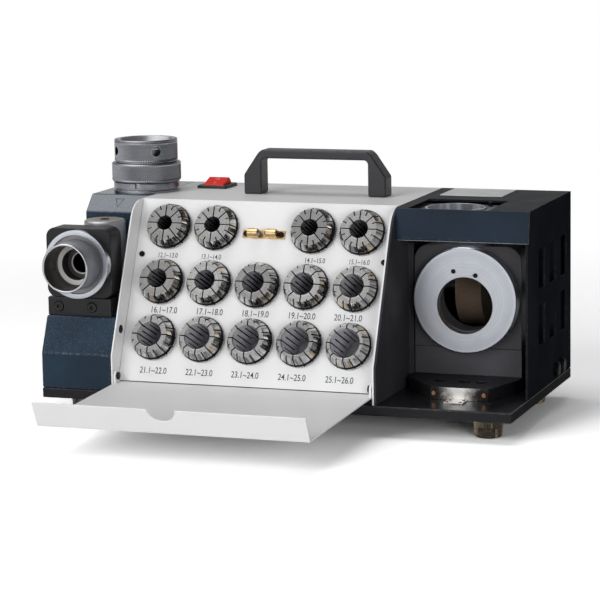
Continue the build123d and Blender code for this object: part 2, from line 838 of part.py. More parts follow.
# Cabinet shell: right wall with six windows, top with the port cut-out, back
inner_x = box_right + cabinet_sheet
header_bottom_y = front_y + header_bottom_setback
header_top_y = front_y + header_top_setback
cabinet_front_y = front_y + cabinet_front_setback
wall_inner_x = right_x - cabinet_sheet
top_front_y = header_top_y + header_sheet + unit_gap
with BuildPart() as cabinet_shell:
    with BuildSketch(side_plane(wall_inner_x)):
        with BuildLine():
            Polyline(
                (cabinet_front_y, base_top),
                (cabinet_front_y, header_bottom - unit_gap),
                (header_bottom_y + header_sheet + unit_gap, header_bottom - unit_gap),
                (top_front_y, casing_top),
                (back_y, casing_top),
                (back_y, base_top),
                close=True,
            )
        make_face()
        for reach in window_from_back:
            for height in window_heights:
                with Locations((back_y - reach, height)):
                    Rectangle(window_width, window_height, mode=Mode.SUBTRACT)
        for reach in fitting_from_back:
            with Locations((back_y - reach, fitting_height)):
                Circle(fitting_neck + screw_play, mode=Mode.SUBTRACT)
    extrude(amount=cabinet_sheet)
    with BuildSketch(side_plane(inner_x)):
        with BuildLine():
            Polyline(
                (top_front_y, casing_top),
                (back_y, casing_top),
                (back_y, base_top),
                (back_y - cabinet_sheet, base_top),
                (back_y - cabinet_sheet, casing_top - cabinet_sheet),
                (top_front_y, casing_top - cabinet_sheet),
                close=True,
            )
        make_face()
    extrude(amount=wall_inner_x - inner_x)
    cutout_back_y = front_y + cutout_back_setback
    with BuildSketch(Plane.XY.offset(casing_top)):
        with Locations((box_right + cutout_left + cutout_width / 2.0, cutout_back_y)):
            Rectangle(cutout_width, 2.0 * (cutout_back_y - top_front_y) + 2.0)
        with Locations((box_right + cutout_left + cutout_width / 2.0, cutout_back_y + base_depth / 2.0)):
            Rectangle(base_width, base_depth, mode=Mode.SUBTRACT)
    extrude(amount=-cabinet_sheet, mode=Mode.SUBTRACT)
cabinet_shell.part.label = "cabinet_shell"
export_step(cabinet_shell.part, "parts/cabinet_shell.step")

# Inner cabinet wall beside the white box, with a narrow guide strip beside the port block
guide_width = port_from_wall - port_width / 2.0 - cabinet_sheet - 1.0
with BuildPart() as cabinet_wall:
    with BuildSketch(side_plane(box_right)):
        with BuildLine():
            Polyline(*wall_points)
            TangentArc(lean_end, top_start, tangent=(lean_sin, lean_cos))
        make_face()
        with Locations((axis_y, axis_height)):
            Circle(spindle_hole, mode=Mode.SUBTRACT)
    extrude(amount=cabinet_sheet)
    with BuildSketch(Plane.XY.offset(base_top)):
        with Locations((inner_x + guide_width / 2.0, port_front_y + cabinet_sheet)):
            Rectangle(guide_width, cabinet_sheet)
    extrude(amount=port_top - base_top)
cabinet_wall.part.label = "cabinet_wall"
export_step(cabinet_wall.part, "parts/cabinet_wall.step")

# Blue header over the right port, folded back along its lower edge
with BuildPart() as header:
    with BuildSketch(side_plane(inner_x)):
        with BuildLine():
            Polyline(
                (header_bottom_y, header_bottom),
                (header_top_y, casing_top),
                (header_top_y + header_sheet, casing_top),
                (header_bottom_y + header_sheet, header_bottom),
                close=True,
            )
        make_face()
    extrude(amount=right_x - inner_x)
    with BuildSketch(side_plane(inner_x)):
        return_middle = header_bottom_y + header_return / 2.0
        with Locations((return_middle, header_bottom + header_sheet / 2.0)):
            Rectangle(header_return - 2.0 * unit_gap, header_sheet)
    extrude(amount=wall_inner_x - inner_x - unit_gap)
header.part.label = "header"
export_step(header.part, "parts/header.step")

# Bare label plate on the cabinet top
with BuildPart() as label_plate:
    with BuildSketch(Plane.XY.offset(casing_top)):
        with Locations((box_right + label_from_wall, back_y - label_from_back)):
            RectangleRounded(label_width, label_depth, 1.5)
    extrude(amount=label_thickness)
label_plate.part.label = "label_plate"
export_step(label_plate.part, "parts/label_plate.step")

# Two round fittings low on the right wall, each with a nut inside
fitting_spots = [(back_y - reach, fitting_height) for reach in fitting_from_back]
with BuildPart() as side_fittings:
    with BuildSketch(side_plane(right_x)):
        with Locations(*fitting_spots):
            Circle(fitting_radius)
    extrude(amount=fitting_reach)
    chamfer(side_fittings.edges().group_by(Axis.X)[-1], 1.2)
    with BuildSketch(side_plane(right_x)):
        with Locations(*fitting_spots):
            Circle(fitting_neck)
    extrude(amount=-(cabinet_sheet + fitting_nut))
    with BuildSketch(side_plane(wall_inner_x)):
        with Locations(*fitting_spots):
            RegularPolygon(fitting_radius, 6)
    extrude(amount=-fitting_nut)
side_fittings.part.label = "side_fittings"
export_step(side_fittings.part, "parts/side_fittings.step")

# Right port: upper block with a wide clearance bore
port_half = port_width / 2.0
with BuildPart() as right_port_block:
    with BuildSketch(front_plane(port_front_setback)) as port_face:
        with Locations((port_x, (port_seam + port_top) / 2.0)):
            Rectangle(port_width, port_top - port_seam)
        fillet(port_face.vertices().group_by(Axis.Y)[-1], port_corner)
        with Locations((port_x, port_ring_height)):
            Circle(port_clear_radius, mode=Mode.SUBTRACT)
    extrude(amount=-port_depth)
right_port_block.part.label = "right_port_block"
export_step(right_port_block.part, "parts/right_port_block.step")

# Right port foot: riser under the block and a tapering toe with three counterbores
foot_front_y = front_y + foot_front_setback
strip_left = port_x + strip_shift - strip_width / 2.0
strip_right = port_x + strip_shift + strip_width / 2.0
strip_mid = port_x + strip_shift
toe_left_y = port_front_y - toe_left_reach
toe_right_y = port_front_y - toe_right_reach
foot_top = base_top + port_foot_height
strip_screw_height = base_top + port_foot_height / 2.0
strip_screw_x = [strip_left + strip_screw_inset, strip_right - strip_screw_inset]
strip_face_setback = foot_front_setback - strip_thickness
with BuildPart() as right_port_foot:
    with BuildSketch(Plane.XY.offset(base_top)):
        with BuildLine():
            Polyline(
                (strip_right, foot_front_y),
                (port_x + port_half, toe_right_y),
                (port_x + port_half, port_front_y + port_depth),
                (port_x - port_half, port_front_y + port_depth),
                (port_x - port_half, toe_left_y),
                (strip_left, foot_front_y),
            )
            ThreePointArc(
                (strip_left, foot_front_y),
                (strip_mid, foot_front_y - strip_bow),
                (strip_right, foot_front_y),
            )
        make_face()
    extrude(amount=port_foot_height)
    with BuildSketch(Plane.XY.offset(base_top)):
        with Locations((port_x, port_front_y + port_depth / 2.0)):
            Rectangle(port_width, port_depth)
    extrude(amount=port_seam - base_top)
    with BuildSketch(Plane.XY.offset(foot_top)):
        with Locations(*bolt_spots):
            Circle(bolt_head_radius + bolt_play)
    extrude(amount=-(bolt_head_height + bolt_sink), mode=Mode.SUBTRACT)
    with BuildSketch(Plane.XY.offset(base_top)):
        with Locations(*bolt_spots):
            Circle(bolt_radius + bolt_play)
    extrude(amount=port_foot_height, mode=Mode.SUBTRACT)
    with BuildSketch(front_plane(strip_face_setback)):
        for screw_x in strip_screw_x:
            with Locations((screw_x, strip_screw_height)):
                Circle(small_screw_radius + screw_play)
    extrude(amount=-(small_screw_length + strip_thickness + strip_bow), mode=Mode.SUBTRACT)
right_port_foot.part.label = "right_port_foot"
export_step(right_port_foot.part, "parts/right_port_foot.step")

# Three cap screws with hexagon sockets in the counterbores
bolt_head_base = foot_top - bolt_sink - bolt_head_height
with BuildPart() as foot_bolts:
    with BuildSketch(Plane.XY.offset(bolt_head_base)):
        with Locations(*bolt_spots):
            Circle(bolt_head_radius)
    extrude(amount=bolt_head_height)
    with BuildSketch(Plane.XY.offset(bolt_head_base + bolt_head_height)):
        with Locations(*bolt_spots):
            RegularPolygon(bolt_head_radius * 0.55, 6)
    extrude(amount=-bolt_head_height * socket_share, mode=Mode.SUBTRACT)
    with BuildSketch(Plane.XY.offset(bolt_head_base)):
        with Locations(*bolt_spots):
            Circle(bolt_radius)
    extrude(amount=-bolt_length)
foot_bolts.part.label = "foot_bolts"
export_step(foot_bolts.part, "parts/foot_bolts.step")

# Silver ring with the off-centre bore and two pin holes
ring_front_setback = port_front_setback - port_ring_thickness
bore_height = port_ring_height - port_bore_drop
ring_pin_points = [(port_x + dx, port_ring_height + dz) for dx, dz in ring_pin_spots]
with BuildPart() as right_port_ring:
    with BuildSketch(front_plane(port_front_setback)):
        with Locations((port_x, port_ring_height)):
            Circle(port_ring_radius)
    extrude(amount=port_ring_thickness)
    chamfer(right_port_ring.edges().group_by(Axis.Y)[0], ring_chamfer)
    with BuildSketch(front_plane(port_front_setback)):
        with Locations((port_x, bore_height)):
            Circle(port_bore_radius)
        with Locations(*ring_pin_points):
            Circle(pin_radius + pin_play)
    extrude(amount=port_ring_thickness, mode=Mode.SUBTRACT)
right_port_ring.part.label = "right_port_ring"
export_step(right_port_ring.part, "parts/right_port_ring.step")

# Locating pins: two in the ring, one on the top port block
top_pin_x = box_right + top_pin_from_wall
top_pin_y = front_y + top_pin_setback
with BuildPart() as locating_pins:
    with BuildSketch(front_plane(port_front_setback)):
        with Locations(*ring_pin_points):
            Circle(pin_radius)
    extrude(amount=port_ring_thickness - pin_sink)
    with BuildSketch(Plane.XY.offset(top_block_top)):
        with Locations((top_pin_x, top_pin_y)):
            Circle(pin_radius)
    extrude(amount=top_pin_height)
locating_pins.part.label = "locating_pins"
export_step(locating_pins.part, "parts/locating_pins.step")

# Polished bowed strip on the toe of the foot
strip_front_y = foot_front_y - strip_thickness
with BuildPart() as angle_strip:
    with BuildSketch(Plane.XY.offset(base_top)):
        with BuildLine():
            ThreePointArc(
                (strip_left, foot_front_y),
                (strip_mid, foot_front_y - strip_bow),
                (strip_right, foot_front_y),
            )
            Line((strip_right, foot_front_y), (strip_right, strip_front_y))
            ThreePointArc(
                (strip_right, strip_front_y),
                (strip_mid, strip_front_y - strip_bow),
                (strip_left, strip_front_y),
            )
            Line((strip_left, strip_front_y), (strip_left, foot_front_y))
        make_face()
    extrude(amount=port_foot_height)
    with BuildSketch(front_plane(foot_front_setback)):
        for screw_x in strip_screw_x:
            with Locations((screw_x, strip_screw_height)):
                Circle(small_screw_radius + screw_play)
    extrude(amount=strip_thickness + 2.0 * strip_bow, mode=Mode.SUBTRACT)
angle_strip.part.label = "angle_strip"
export_step(angle_strip.part, "parts/angle_strip.step")

# Small bright plate on the base in front of the strip
index_x = port_x + index_shift
index_y = front_y + index_setback
index_half_x = index_width / 2.0 - index_screw_inset
index_half_y = index_depth / 2.0 - index_screw_inset
index_spots = [(index_x + i * index_half_x, index_y + j * index_half_y) for i in (-1, 1) for j in (-1, 1)]
with BuildPart() as index_plate:
    with BuildSketch(Plane.XY.offset(base_top)):
        with Locations((index_x, index_y)):
            Rectangle(index_width, index_depth)
    extrude(amount=index_thickness)
index_plate.part.label = "index_plate"
export_step(index_plate.part, "parts/index_plate.step")

# Small copper-coloured screws: two on the strip, four heads on the plate
strip_head_edge = strip_width / 2.0 - strip_screw_inset - small_screw_head
strip_rise = strip_bow * (1.0 - (2.0 * strip_head_edge / strip_width) ** 2)
strip_seat_setback = strip_face_setback - strip_rise - press_gap
with BuildPart() as strip_screws:
    with BuildSketch(front_plane(strip_seat_setback)):
        for screw_x in strip_screw_x:
            with Locations((screw_x, strip_screw_height)):
                Circle(small_screw_head)
    extrude(amount=small_screw_head_height)
    with BuildSketch(front_plane(strip_seat_setback)):
        for screw_x in strip_screw_x:
            with Locations((screw_x, strip_screw_height)):
                Circle(small_screw_radius)
    extrude(amount=-small_screw_length)
    with BuildSketch(Plane.XY.offset(base_top + index_thickness)):
        with Locations(*index_spots):
            Circle(small_screw_radius)
    extrude(amount=small_screw_head_height * 0.6)
strip_screws.part.label = "strip_screws"
export_step(strip_screws.part, "parts/strip_screws.step")

# Top port: block fixed to the inner wall, polished bush
with BuildPart() as top_port_block:
    with BuildSketch(Plane.XY.offset(top_block_bottom)):
        block_middle = front_y + (top_block_front_setback + top_block_back_setback) / 2.0
        with Locations((inner_x + top_block_width / 2.0, block_middle)):
            Rectangle(top_block_width, top_block_back_setback - top_block_front_setback)
        with Locations((top_port_x, top_port_y)):
            Circle(top_bush_radius + press_gap, mode=Mode.SUBTRACT)
    extrude(amount=top_block_top - top_block_bottom)
top_port_block.part.label = "top_port_block"
export_step(top_port_block.part, "parts/top_port_block.step")

with BuildPart() as top_port_bush:
    with BuildSketch(Plane.XY.offset(top_block_bottom)):
        with Locations((top_port_x, top_port_y)):
            Circle(top_bush_radius)
            Circle(top_port_radius, mode=Mode.SUBTRACT)
    extrude(amount=top_block_top - top_block_bottom + top_bush_stand)
top_port_bush.part.label = "top_port_bush"
export_step(top_port_bush.part, "parts/top_port_bush.step")

# Left casting: low front block, rear column with a sloped facet, hollow for the wheel
shelf_front_y = front_y + (shelf_height - kink_height) * lean_tan
column_front_y = front_y + column_front_setback
facet_y = front_y + facet_setback
casting_right = box_left - unit_gap
column_left = left_x + column_inset
hollow_left = column_left + casting_wall
hollow_right = casting_right - casting_wall
hollow_front = column_front_y + casting_wall
hollow_back = back_y - casting_wall
with BuildPart() as left_housing:
    with BuildSketch(side_plane(left_x)):
        with BuildLine():
            Polyline(
                (front_y, base_top),
                (front_y, kink_height),
                (shelf_front_y, shelf_height),
                (back_y, shelf_height),
                (back_y, base_top),
                close=True,
            )
        make_face()
    extrude(amount=casting_right - left_x)
    with BuildSketch(side_plane(column_left)):
        with BuildLine():
            Polyline(
                (column_front_y, base_top),
                (column_front_y, facet_height),
                (facet_y, casing_top),
                (back_y, casing_top),
                (back_y, base_top),
                close=True,
            )
        make_face()
    extrude(amount=casting_right - column_left)
    with BuildSketch(Plane.XY.offset(base_top)):
        with Locations(((hollow_left + hollow_right) / 2.0, (hollow_front + hollow_back) / 2.0)):
            Rectangle(hollow_right - hollow_left, hollow_back - hollow_front)
    extrude(amount=casing_top - casting_roof - base_top, mode=Mode.SUBTRACT)
    low_front = shelf_front_y + casting_wall
    with BuildSketch(Plane.XY.offset(base_top)):
        with Locations(((hollow_left + hollow_right) / 2.0, (low_front + hollow_front) / 2.0)):
            Rectangle(hollow_right - hollow_left, hollow_front - low_front + 1.0)
    extrude(amount=shelf_height - casting_roof - base_top, mode=Mode.SUBTRACT)
    with BuildSketch(side_plane(hollow_right)):
        with Locations((axis_y, axis_height)):
            Circle(spindle_hole)
    extrude(amount=2.0 * casting_wall, both=True, mode=Mode.SUBTRACT)
    with BuildSketch(front_plane(column_front_setback)):
        with Locations((left_port_x, left_port_height)):
            Circle(drill_path_radius)
    extrude(amount=-2.0 * casting_wall, mode=Mode.SUBTRACT)
    with BuildSketch(Plane.XY.offset(casing_top)):
        with Locations((chuck_x, chuck_y)):
            Circle(pilot_radius + pilot_play)
    extrude(amount=-2.0 * casting_roof, mode=Mode.SUBTRACT)
left_housing.part.label = "left_housing"
export_step(left_housing.part, "parts/left_housing.step")

# Left port: base bar on the shelf
base_screw_spots = [(left_x + reach, base_screw_height) for reach in base_screw_from_edge]
left_base_x = left_x + left_base_width / 2.0
left_mid_y = (left_block_front_y + left_block_back_y) / 2.0
screw_seat = left_block_front_setback + set_screw_sink
with BuildPart() as left_port_base:
    with BuildSketch(Plane.XY.offset(shelf_height)):
        with Locations((left_base_x, left_mid_y)):
            Rectangle(left_base_width, left_block_depth)
    extrude(amount=left_base_top - shelf_height)
    with BuildSketch(front_plane(left_block_front_setback)):
        with Locations(*base_screw_spots):
            Circle(set_screw_head + screw_play)
    extrude(amount=-set_screw_sink, mode=Mode.SUBTRACT)
    with BuildSketch(front_plane(left_block_front_setback)):
        with Locations(*base_screw_spots):
            Circle(set_screw_radius + screw_play)
    extrude(amount=-(set_screw_head_height + set_screw_length), mode=Mode.SUBTRACT)
left_port_base.part.label = "left_port_base"
export_step(left_port_base.part, "parts/left_port_base.step")

# Left port: black block with rounded corners
left_block_x = left_x + left_block_width / 2.0
with BuildPart() as left_port_block:
    with BuildSketch(front_plane(left_block_front_setback)) as left_face:
        with Locations((left_block_x, (left_base_top + left_block_top) / 2.0)):
            Rectangle(left_block_width, left_block_top - left_base_top)
        fillet(left_face.vertices(), left_block_round)
        with Locations((left_port_x, left_port_height)):
            Circle(left_bush_radius, mode=Mode.SUBTRACT)
    extrude(amount=-left_block_depth)
left_port_block.part.label = "left_port_block"
export_step(left_port_block.part, "parts/left_port_block.step")

# Left port: silver flange around the sleeve
with BuildPart() as left_port_flange:
    with BuildSketch(front_plane(left_block_front_setback)):
        with Locations((left_port_x, left_port_height)):
            Circle(left_flange_radius)
            Circle(left_sleeve_radius + press_gap, mode=Mode.SUBTRACT)
    extrude(amount=left_flange_thickness)
    with BuildSketch(front_plane(left_block_front_setback - left_flange_thickness)):
        with Locations((left_port_x, left_port_height)):
            Circle(left_flange_inner)
    extrude(amount=-left_flange_recess, mode=Mode.SUBTRACT)
left_port_flange.part.label = "left_port_flange"
export_step(left_port_flange.part, "parts/left_port_flange.step")

# Left port: sleeve that takes the chuck, narrower behind where the bush sits
with BuildPart() as left_port_sleeve:
    with BuildSketch(front_plane(left_block_front_setback)):
        with Locations((left_port_x, left_port_height)):
            Circle(left_sleeve_radius)
            Circle(left_bush_radius, mode=Mode.SUBTRACT)
    extrude(amount=left_sleeve_length)
    with BuildSketch(front_plane(left_block_front_setback - left_bush_front)):
        with Locations((left_port_x, left_port_height)):
            Circle(left_sleeve_bore)
    extrude(amount=left_sleeve_length, mode=Mode.SUBTRACT)
    chamfer(left_port_sleeve.edges().group_by(Axis.Y)[0], 0.6)
left_port_sleeve.part.label = "left_port_sleeve"
export_step(left_port_sleeve.part, "parts/left_port_sleeve.step")

# Left port: stepped bush inside the sleeve and the block
bush_front_setback = left_block_front_setback - left_bush_front
bush_length = left_bush_front + left_block_depth
with BuildPart() as left_port_bush:
    with BuildSketch(front_plane(bush_front_setback)):
        with Locations((left_port_x, left_port_height)):
            Circle(left_bush_radius - press_gap)
            Circle(left_bush_bore, mode=Mode.SUBTRACT)
    extrude(amount=-bush_length)
    with BuildSketch(front_plane(bush_front_setback)):
        with Locations((left_port_x, left_port_height)):
            Circle(left_bush_mouth)
    extrude(amount=-left_bush_step, mode=Mode.SUBTRACT)
left_port_bush.part.label = "left_port_bush"
export_step(left_port_bush.part, "parts/left_port_bush.step")

# Round post behind the block, drilled across for the drill
with BuildPart() as left_port_post:
    with BuildSketch(Plane.XY.offset(shelf_height)):
        with Locations((post_x, post_y)):
            Circle(post_radius)
    extrude(amount=post_top - shelf_height)
    chamfer(left_port_post.edges().group_by(Axis.Z)[-1], 1.5)
    with BuildSketch(front_plane(post_setback)):
        with Locations((left_port_x, left_port_height)):
            Circle(drill_path_radius)
    extrude(amount=2.0 * post_radius, both=True, mode=Mode.SUBTRACT)
    with BuildSketch(Plane.XY.offset(post_top)):
        with Locations((post_x, post_y)):
            Circle(set_screw_radius + screw_play)
    extrude(amount=-(set_screw_length + 1.0), mode=Mode.SUBTRACT)
left_port_post.part.label = "left_port_post"
export_step(left_port_post.part, "parts/left_port_post.step")

# Three socket screws of the left port: two in the base bar, one on the post
with BuildPart() as left_port_screws:
    with BuildSketch(front_plane(screw_seat)):
        with Locations(*base_screw_spots):
            Circle(set_screw_head)
    extrude(amount=set_screw_head_height)
    with BuildSketch(front_plane(screw_seat)):
        with Locations(*base_screw_spots):
            Circle(set_screw_radius)
    extrude(amount=-set_screw_length)
    with BuildSketch(front_plane(screw_seat - set_screw_head_height)):
        with Locations(*base_screw_spots):
            RegularPolygon(set_screw_head * 0.5, 6)
    extrude(amount=-set_screw_head_height * socket_share, mode=Mode.SUBTRACT)
    with BuildSketch(Plane.XY.offset(post_top)):
        with Locations((post_x, post_y)):
            Circle(set_screw_head)
    extrude(amount=set_screw_head_height)
    with BuildSketch(Plane.XY.offset(post_top)):
        with Locations((post_x, post_y)):
            Circle(set_screw_radius)
    extrude(amount=-set_screw_length)
    with BuildSketch(Plane.XY.offset(post_top + set_screw_head_height)):
        with Locations((post_x, post_y)):
            RegularPolygon(set_screw_head * 0.5, 6)
    extrude(amount=-set_screw_head_height * socket_share, mode=Mode.SUBTRACT)
left_port_screws.part.label = "left_port_screws"
export_step(left_port_screws.part, "parts/left_port_screws.step")

# Setting socket on the column: collar with a groove and a front slot
socket_top = casing_top + socket_height
groove_low = casing_top + socket_height * 0.26
groove_high = groove_low + 1.2
with BuildPart() as setting_socket:
    with BuildSketch(Plane.XY.offset(casing_top)):
        with Locations((chuck_x, chuck_y)):
            Circle(socket_radius)
            Circle(nose_radius + nose_play, mode=Mode.SUBTRACT)
    extrude(amount=socket_height)
    chamfer(setting_socket.edges().group_by(Axis.Z)[-1], 0.6)
    with BuildSketch(Plane.XY.offset(groove_low)):
        with Locations((chuck_x, chuck_y)):
            Circle(socket_radius + 1.0)
            Circle(socket_radius - socket_groove, mode=Mode.SUBTRACT)
    extrude(amount=groove_high - groove_low, mode=Mode.SUBTRACT)
    with BuildSketch(Plane.XY.offset(groove_high + 1.0)):
        with Locations((chuck_x + 3.0, chuck_y - socket_radius)):
            Rectangle(4.0, 5.0)
    extrude(amount=socket_height, mode=Mode.SUBTRACT)
setting_socket.part.label = "setting_socket"
export_step(setting_socket.part, "parts/setting_socket.step")

# Chuck body: pilot, nose, knurled flange and neck around a through bore
chuck_radial = Plane(origin=(chuck_x, chuck_y, 0), x_dir=(1, 0, 0), z_dir=(0, -1, 0))
chuck_axis = Axis((chuck_x, chuck_y, 0), (0, 0, 1))
nose_bottom = casing_top + lift_gap
flange_bottom = socket_top + lift_gap
flange_top = flange_bottom + chuck_flange_height
neck_top = flange_top + chuck_neck_height
pilot_bottom = nose_bottom - pilot_length
with BuildPart() as chuck_body:
    with BuildSketch(chuck_radial):
        with BuildLine():
            Polyline(
                (chuck_bore, pilot_bottom),
                (pilot_radius, pilot_bottom),
                (pilot_radius, nose_bottom),
                (nose_radius, nose_bottom),
                (nose_radius, flange_bottom),
                (chuck_flange_radius - 1.0, flange_bottom),
                (chuck_flange_radius, flange_bottom + 1.0),
                (chuck_flange_radius, flange_top - 1.0),
                (chuck_flange_radius - 1.0, flange_top),
                (chuck_neck_radius, flange_top),
                (chuck_neck_radius, neck_top),
                (chuck_bore, neck_top),
                close=True,
            )
        make_face()
    revolve(axis=chuck_axis)
chuck_body.part.label = "chuck_body"
export_step(chuck_body.part, "parts/chuck_body.step")

# Chuck nut with four tommy-bar holes and a flared mouth
nut_bottom = flange_top + lift_gap
nut_top = nut_bottom + nut_height
nut_bore = chuck_neck_radius + nut_play
tommy_height = nut_bottom + nut_height * 0.52
with BuildPart() as chuck_nut:
    with BuildSketch(chuck_radial):
        with BuildLine():
            Polyline(
                (nut_bore, nut_bottom),
                (nut_radius - 1.0, nut_bottom),
                (nut_radius, nut_bottom + 1.0),
                (nut_radius, nut_top - 1.2),
                (nut_radius - 1.2, nut_top),
                (nut_mouth_radius, nut_top),
                (nut_bore, neck_top + lift_gap),
                close=True,
            )
        make_face()
    revolve(axis=chuck_axis)
    for turn in range(tommy_count):
        angle = radians(tommy_turn + turn * 360.0 / tommy_count)
        tommy = Plane(
            origin=(chuck_x, chuck_y, tommy_height),
            x_dir=(-sin(angle), cos(angle), 0),
            z_dir=(cos(angle), sin(angle), 0),
        )
        with BuildSketch(tommy.offset(chuck_neck_radius * 0.8)):
            Circle(tommy_radius)
        extrude(amount=nut_radius, mode=Mode.SUBTRACT)
chuck_nut.part.label = "chuck_nut"
export_step(chuck_nut.part, "parts/chuck_nut.step")

# Motor on its cradle inside the white box
motor_left = box_left + motor_from_wall
cradle_x = motor_left + motor_length / 2.0
with BuildPart() as motor:
    with BuildSketch(side_plane(motor_left)):
        with Locations((axis_y, axis_height)):
            Circle(motor_radius)
    extrude(amount=motor_length)
    fillet(motor.edges().filter_by(GeomType.CIRCLE), 5.0)
    with BuildSketch(side_plane(motor_left - motor_boss_length)):
        with Locations((axis_y, axis_height)):
            Circle(motor_boss_radius)
    extrude(amount=motor_length + 2.0 * motor_boss_length)
    with BuildSketch(Plane.XY.offset(base_top)):
        with Locations((cradle_x, axis_y)):
            Rectangle(cradle_width, cradle_depth)
    extrude(amount=axis_height - base_top - motor_radius * 0.5)
    with BuildSketch(side_plane(motor_left - 2.0 * motor_boss_length)):
        with Locations((axis_y, axis_height)):
            Circle(spindle_radius + bearing_play)
    extrude(amount=motor_length + 4.0 * motor_boss_length, mode=Mode.SUBTRACT)
motor.part.label = "motor"
export_step(motor.part, "parts/motor.step")

# Spindle with a collar behind each wheel
right_wheel_x = box_right + right_wheel_from_wall
left_wheel_x = left_x + left_wheel_from_edge
right_wheel_in = right_wheel_x - right_wheel_width / 2.0
right_wheel_out = right_wheel_x + right_wheel_width / 2.0
left_wheel_in = left_wheel_x + left_wheel_width / 2.0
left_wheel_out = left_wheel_x - left_wheel_width / 2.0
nut_reach = washer_thickness + wheel_nut_height
spindle_left = left_wheel_out - nut_reach - spindle_end
spindle_right = right_wheel_out + nut_reach + spindle_end
with BuildPart() as spindle:
    with BuildSketch(side_plane(spindle_left)):
        with Locations((axis_y, axis_height)):
            Circle(spindle_radius)
    extrude(amount=spindle_right - spindle_left)
    for collar_x in (left_wheel_in, right_wheel_in - collar_width):
        with BuildSketch(side_plane(collar_x)):
            with Locations((axis_y, axis_height)):
                Circle(collar_radius)
        extrude(amount=collar_width)
spindle.part.label = "spindle"
export_step(spindle.part, "parts/spindle.step")

# Grinding wheels
with BuildPart() as right_wheel:
    with BuildSketch(side_plane(right_wheel_in)):
        with Locations((axis_y, axis_height)):
            Circle(wheel_radius)
            Circle(spindle_radius + bearing_play, mode=Mode.SUBTRACT)
    extrude(amount=right_wheel_width)
right_wheel.part.label = "right_wheel"
export_step(right_wheel.part, "parts/right_wheel.step")

with BuildPart() as left_wheel:
    with BuildSketch(side_plane(left_wheel_out)):
        with Locations((axis_y, axis_height)):
            Circle(wheel_radius)
            Circle(spindle_radius + bearing_play, mode=Mode.SUBTRACT)
    extrude(amount=left_wheel_width)
left_wheel.part.label = "left_wheel"
export_step(left_wheel.part, "parts/left_wheel.step")

# Two wheel nuts with washers
with BuildPart() as wheel_nuts:
    for face_x, outward in ((left_wheel_out, -1), (right_wheel_out, 1)):
        with BuildSketch(side_plane(face_x)):
            with Locations((axis_y, axis_height)):
                Circle(washer_radius)
                Circle(spindle_radius + bearing_play, mode=Mode.SUBTRACT)
        extrude(amount=outward * washer_thickness)
        with BuildSketch(side_plane(face_x + outward * washer_thickness)):
            with Locations((axis_y, axis_height)):
                RegularPolygon(wheel_nut_radius, 6)
                Circle(spindle_radius + bearing_play, mode=Mode.SUBTRACT)
        extrude(amount=outward * wheel_nut_height)
wheel_nuts.part.label = "wheel_nuts"
export_step(wheel_nuts.part, "parts/wheel_nuts.step")
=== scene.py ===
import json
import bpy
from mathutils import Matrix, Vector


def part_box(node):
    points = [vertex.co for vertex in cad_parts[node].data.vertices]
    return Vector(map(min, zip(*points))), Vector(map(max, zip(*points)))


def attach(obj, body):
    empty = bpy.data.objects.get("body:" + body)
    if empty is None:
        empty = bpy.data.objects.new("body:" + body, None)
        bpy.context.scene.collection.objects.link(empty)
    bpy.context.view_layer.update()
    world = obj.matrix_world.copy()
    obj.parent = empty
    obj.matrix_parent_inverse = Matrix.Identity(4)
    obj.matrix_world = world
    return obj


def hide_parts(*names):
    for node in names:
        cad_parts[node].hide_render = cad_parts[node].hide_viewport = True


bl_info = {
    "name": "Drill bit grinder",
    "version": (1, 0, 0),
    "blender": (4, 5, 0),
    "location": "View3D > Sidebar > Grinder",
    "description": "Finishes the packed drill bit grinder and sets it on a plain studio stage",
    "category": "Object",
}

from math import atan2, cos, floor, pi, radians, sin

import bmesh
import bpy
from bpy.props import FloatProperty, FloatVectorProperty, IntProperty, PointerProperty
from mathutils import Matrix, Vector

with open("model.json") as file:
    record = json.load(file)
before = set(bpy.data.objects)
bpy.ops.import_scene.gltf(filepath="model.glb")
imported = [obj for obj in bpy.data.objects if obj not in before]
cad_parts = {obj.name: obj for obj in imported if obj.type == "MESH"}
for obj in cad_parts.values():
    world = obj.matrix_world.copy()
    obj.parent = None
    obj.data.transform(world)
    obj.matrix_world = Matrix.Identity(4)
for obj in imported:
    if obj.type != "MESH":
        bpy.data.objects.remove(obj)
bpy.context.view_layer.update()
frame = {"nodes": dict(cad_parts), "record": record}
mounts = {mount["name"]: Vector(mount["pos_m"]) for mount in frame["record"]["mounts"]}

MM = 0.001
RIGHT = Vector((1.0, 0.0, 0.0))
BACK = Vector((0.0, 1.0, 0.0))
UP = Vector((0.0, 0.0, 1.0))
LEAN = radians(24.0)
PANEL_NORMAL = Vector((0.0, -cos(LEAN), sin(LEAN)))
PANEL_UP = Vector((0.0, sin(LEAN), cos(LEAN)))
COLLET_SIZES = range(13, 27)
JAWS = 8
FINE_EDGE = 0.2 * MM
SMALL_EDGE = 0.3 * MM
PIN_EDGE = 0.4 * MM
PLAIN_EDGE = 0.5 * MM
SOFT_EDGE = 0.6 * MM
SHEET_CRISP = 50.0
TURNED_CRISP = 40.0
KNURL_CRISP = 20.0
INK_LIFT = 0.03 * MM
INK_HALF = 0.02 * MM

# Printed rows: drop below the collets in millimetres, shares of the numerals' full height and width,
# and the shift of each range to the right in millimetres
PRINT_ROWS = (
    (26.6, 0.8, 0.74, (1.4, -2.6, 4.0, -0.7)),
    (25.9, 1.0, 0.79, (4.9, 2.8, 0.4, -1.8, -4.6)),
    (30.1, 1.0, 0.79, (2.7, 0.7, -1.8, -3.8, -5.8)),
)

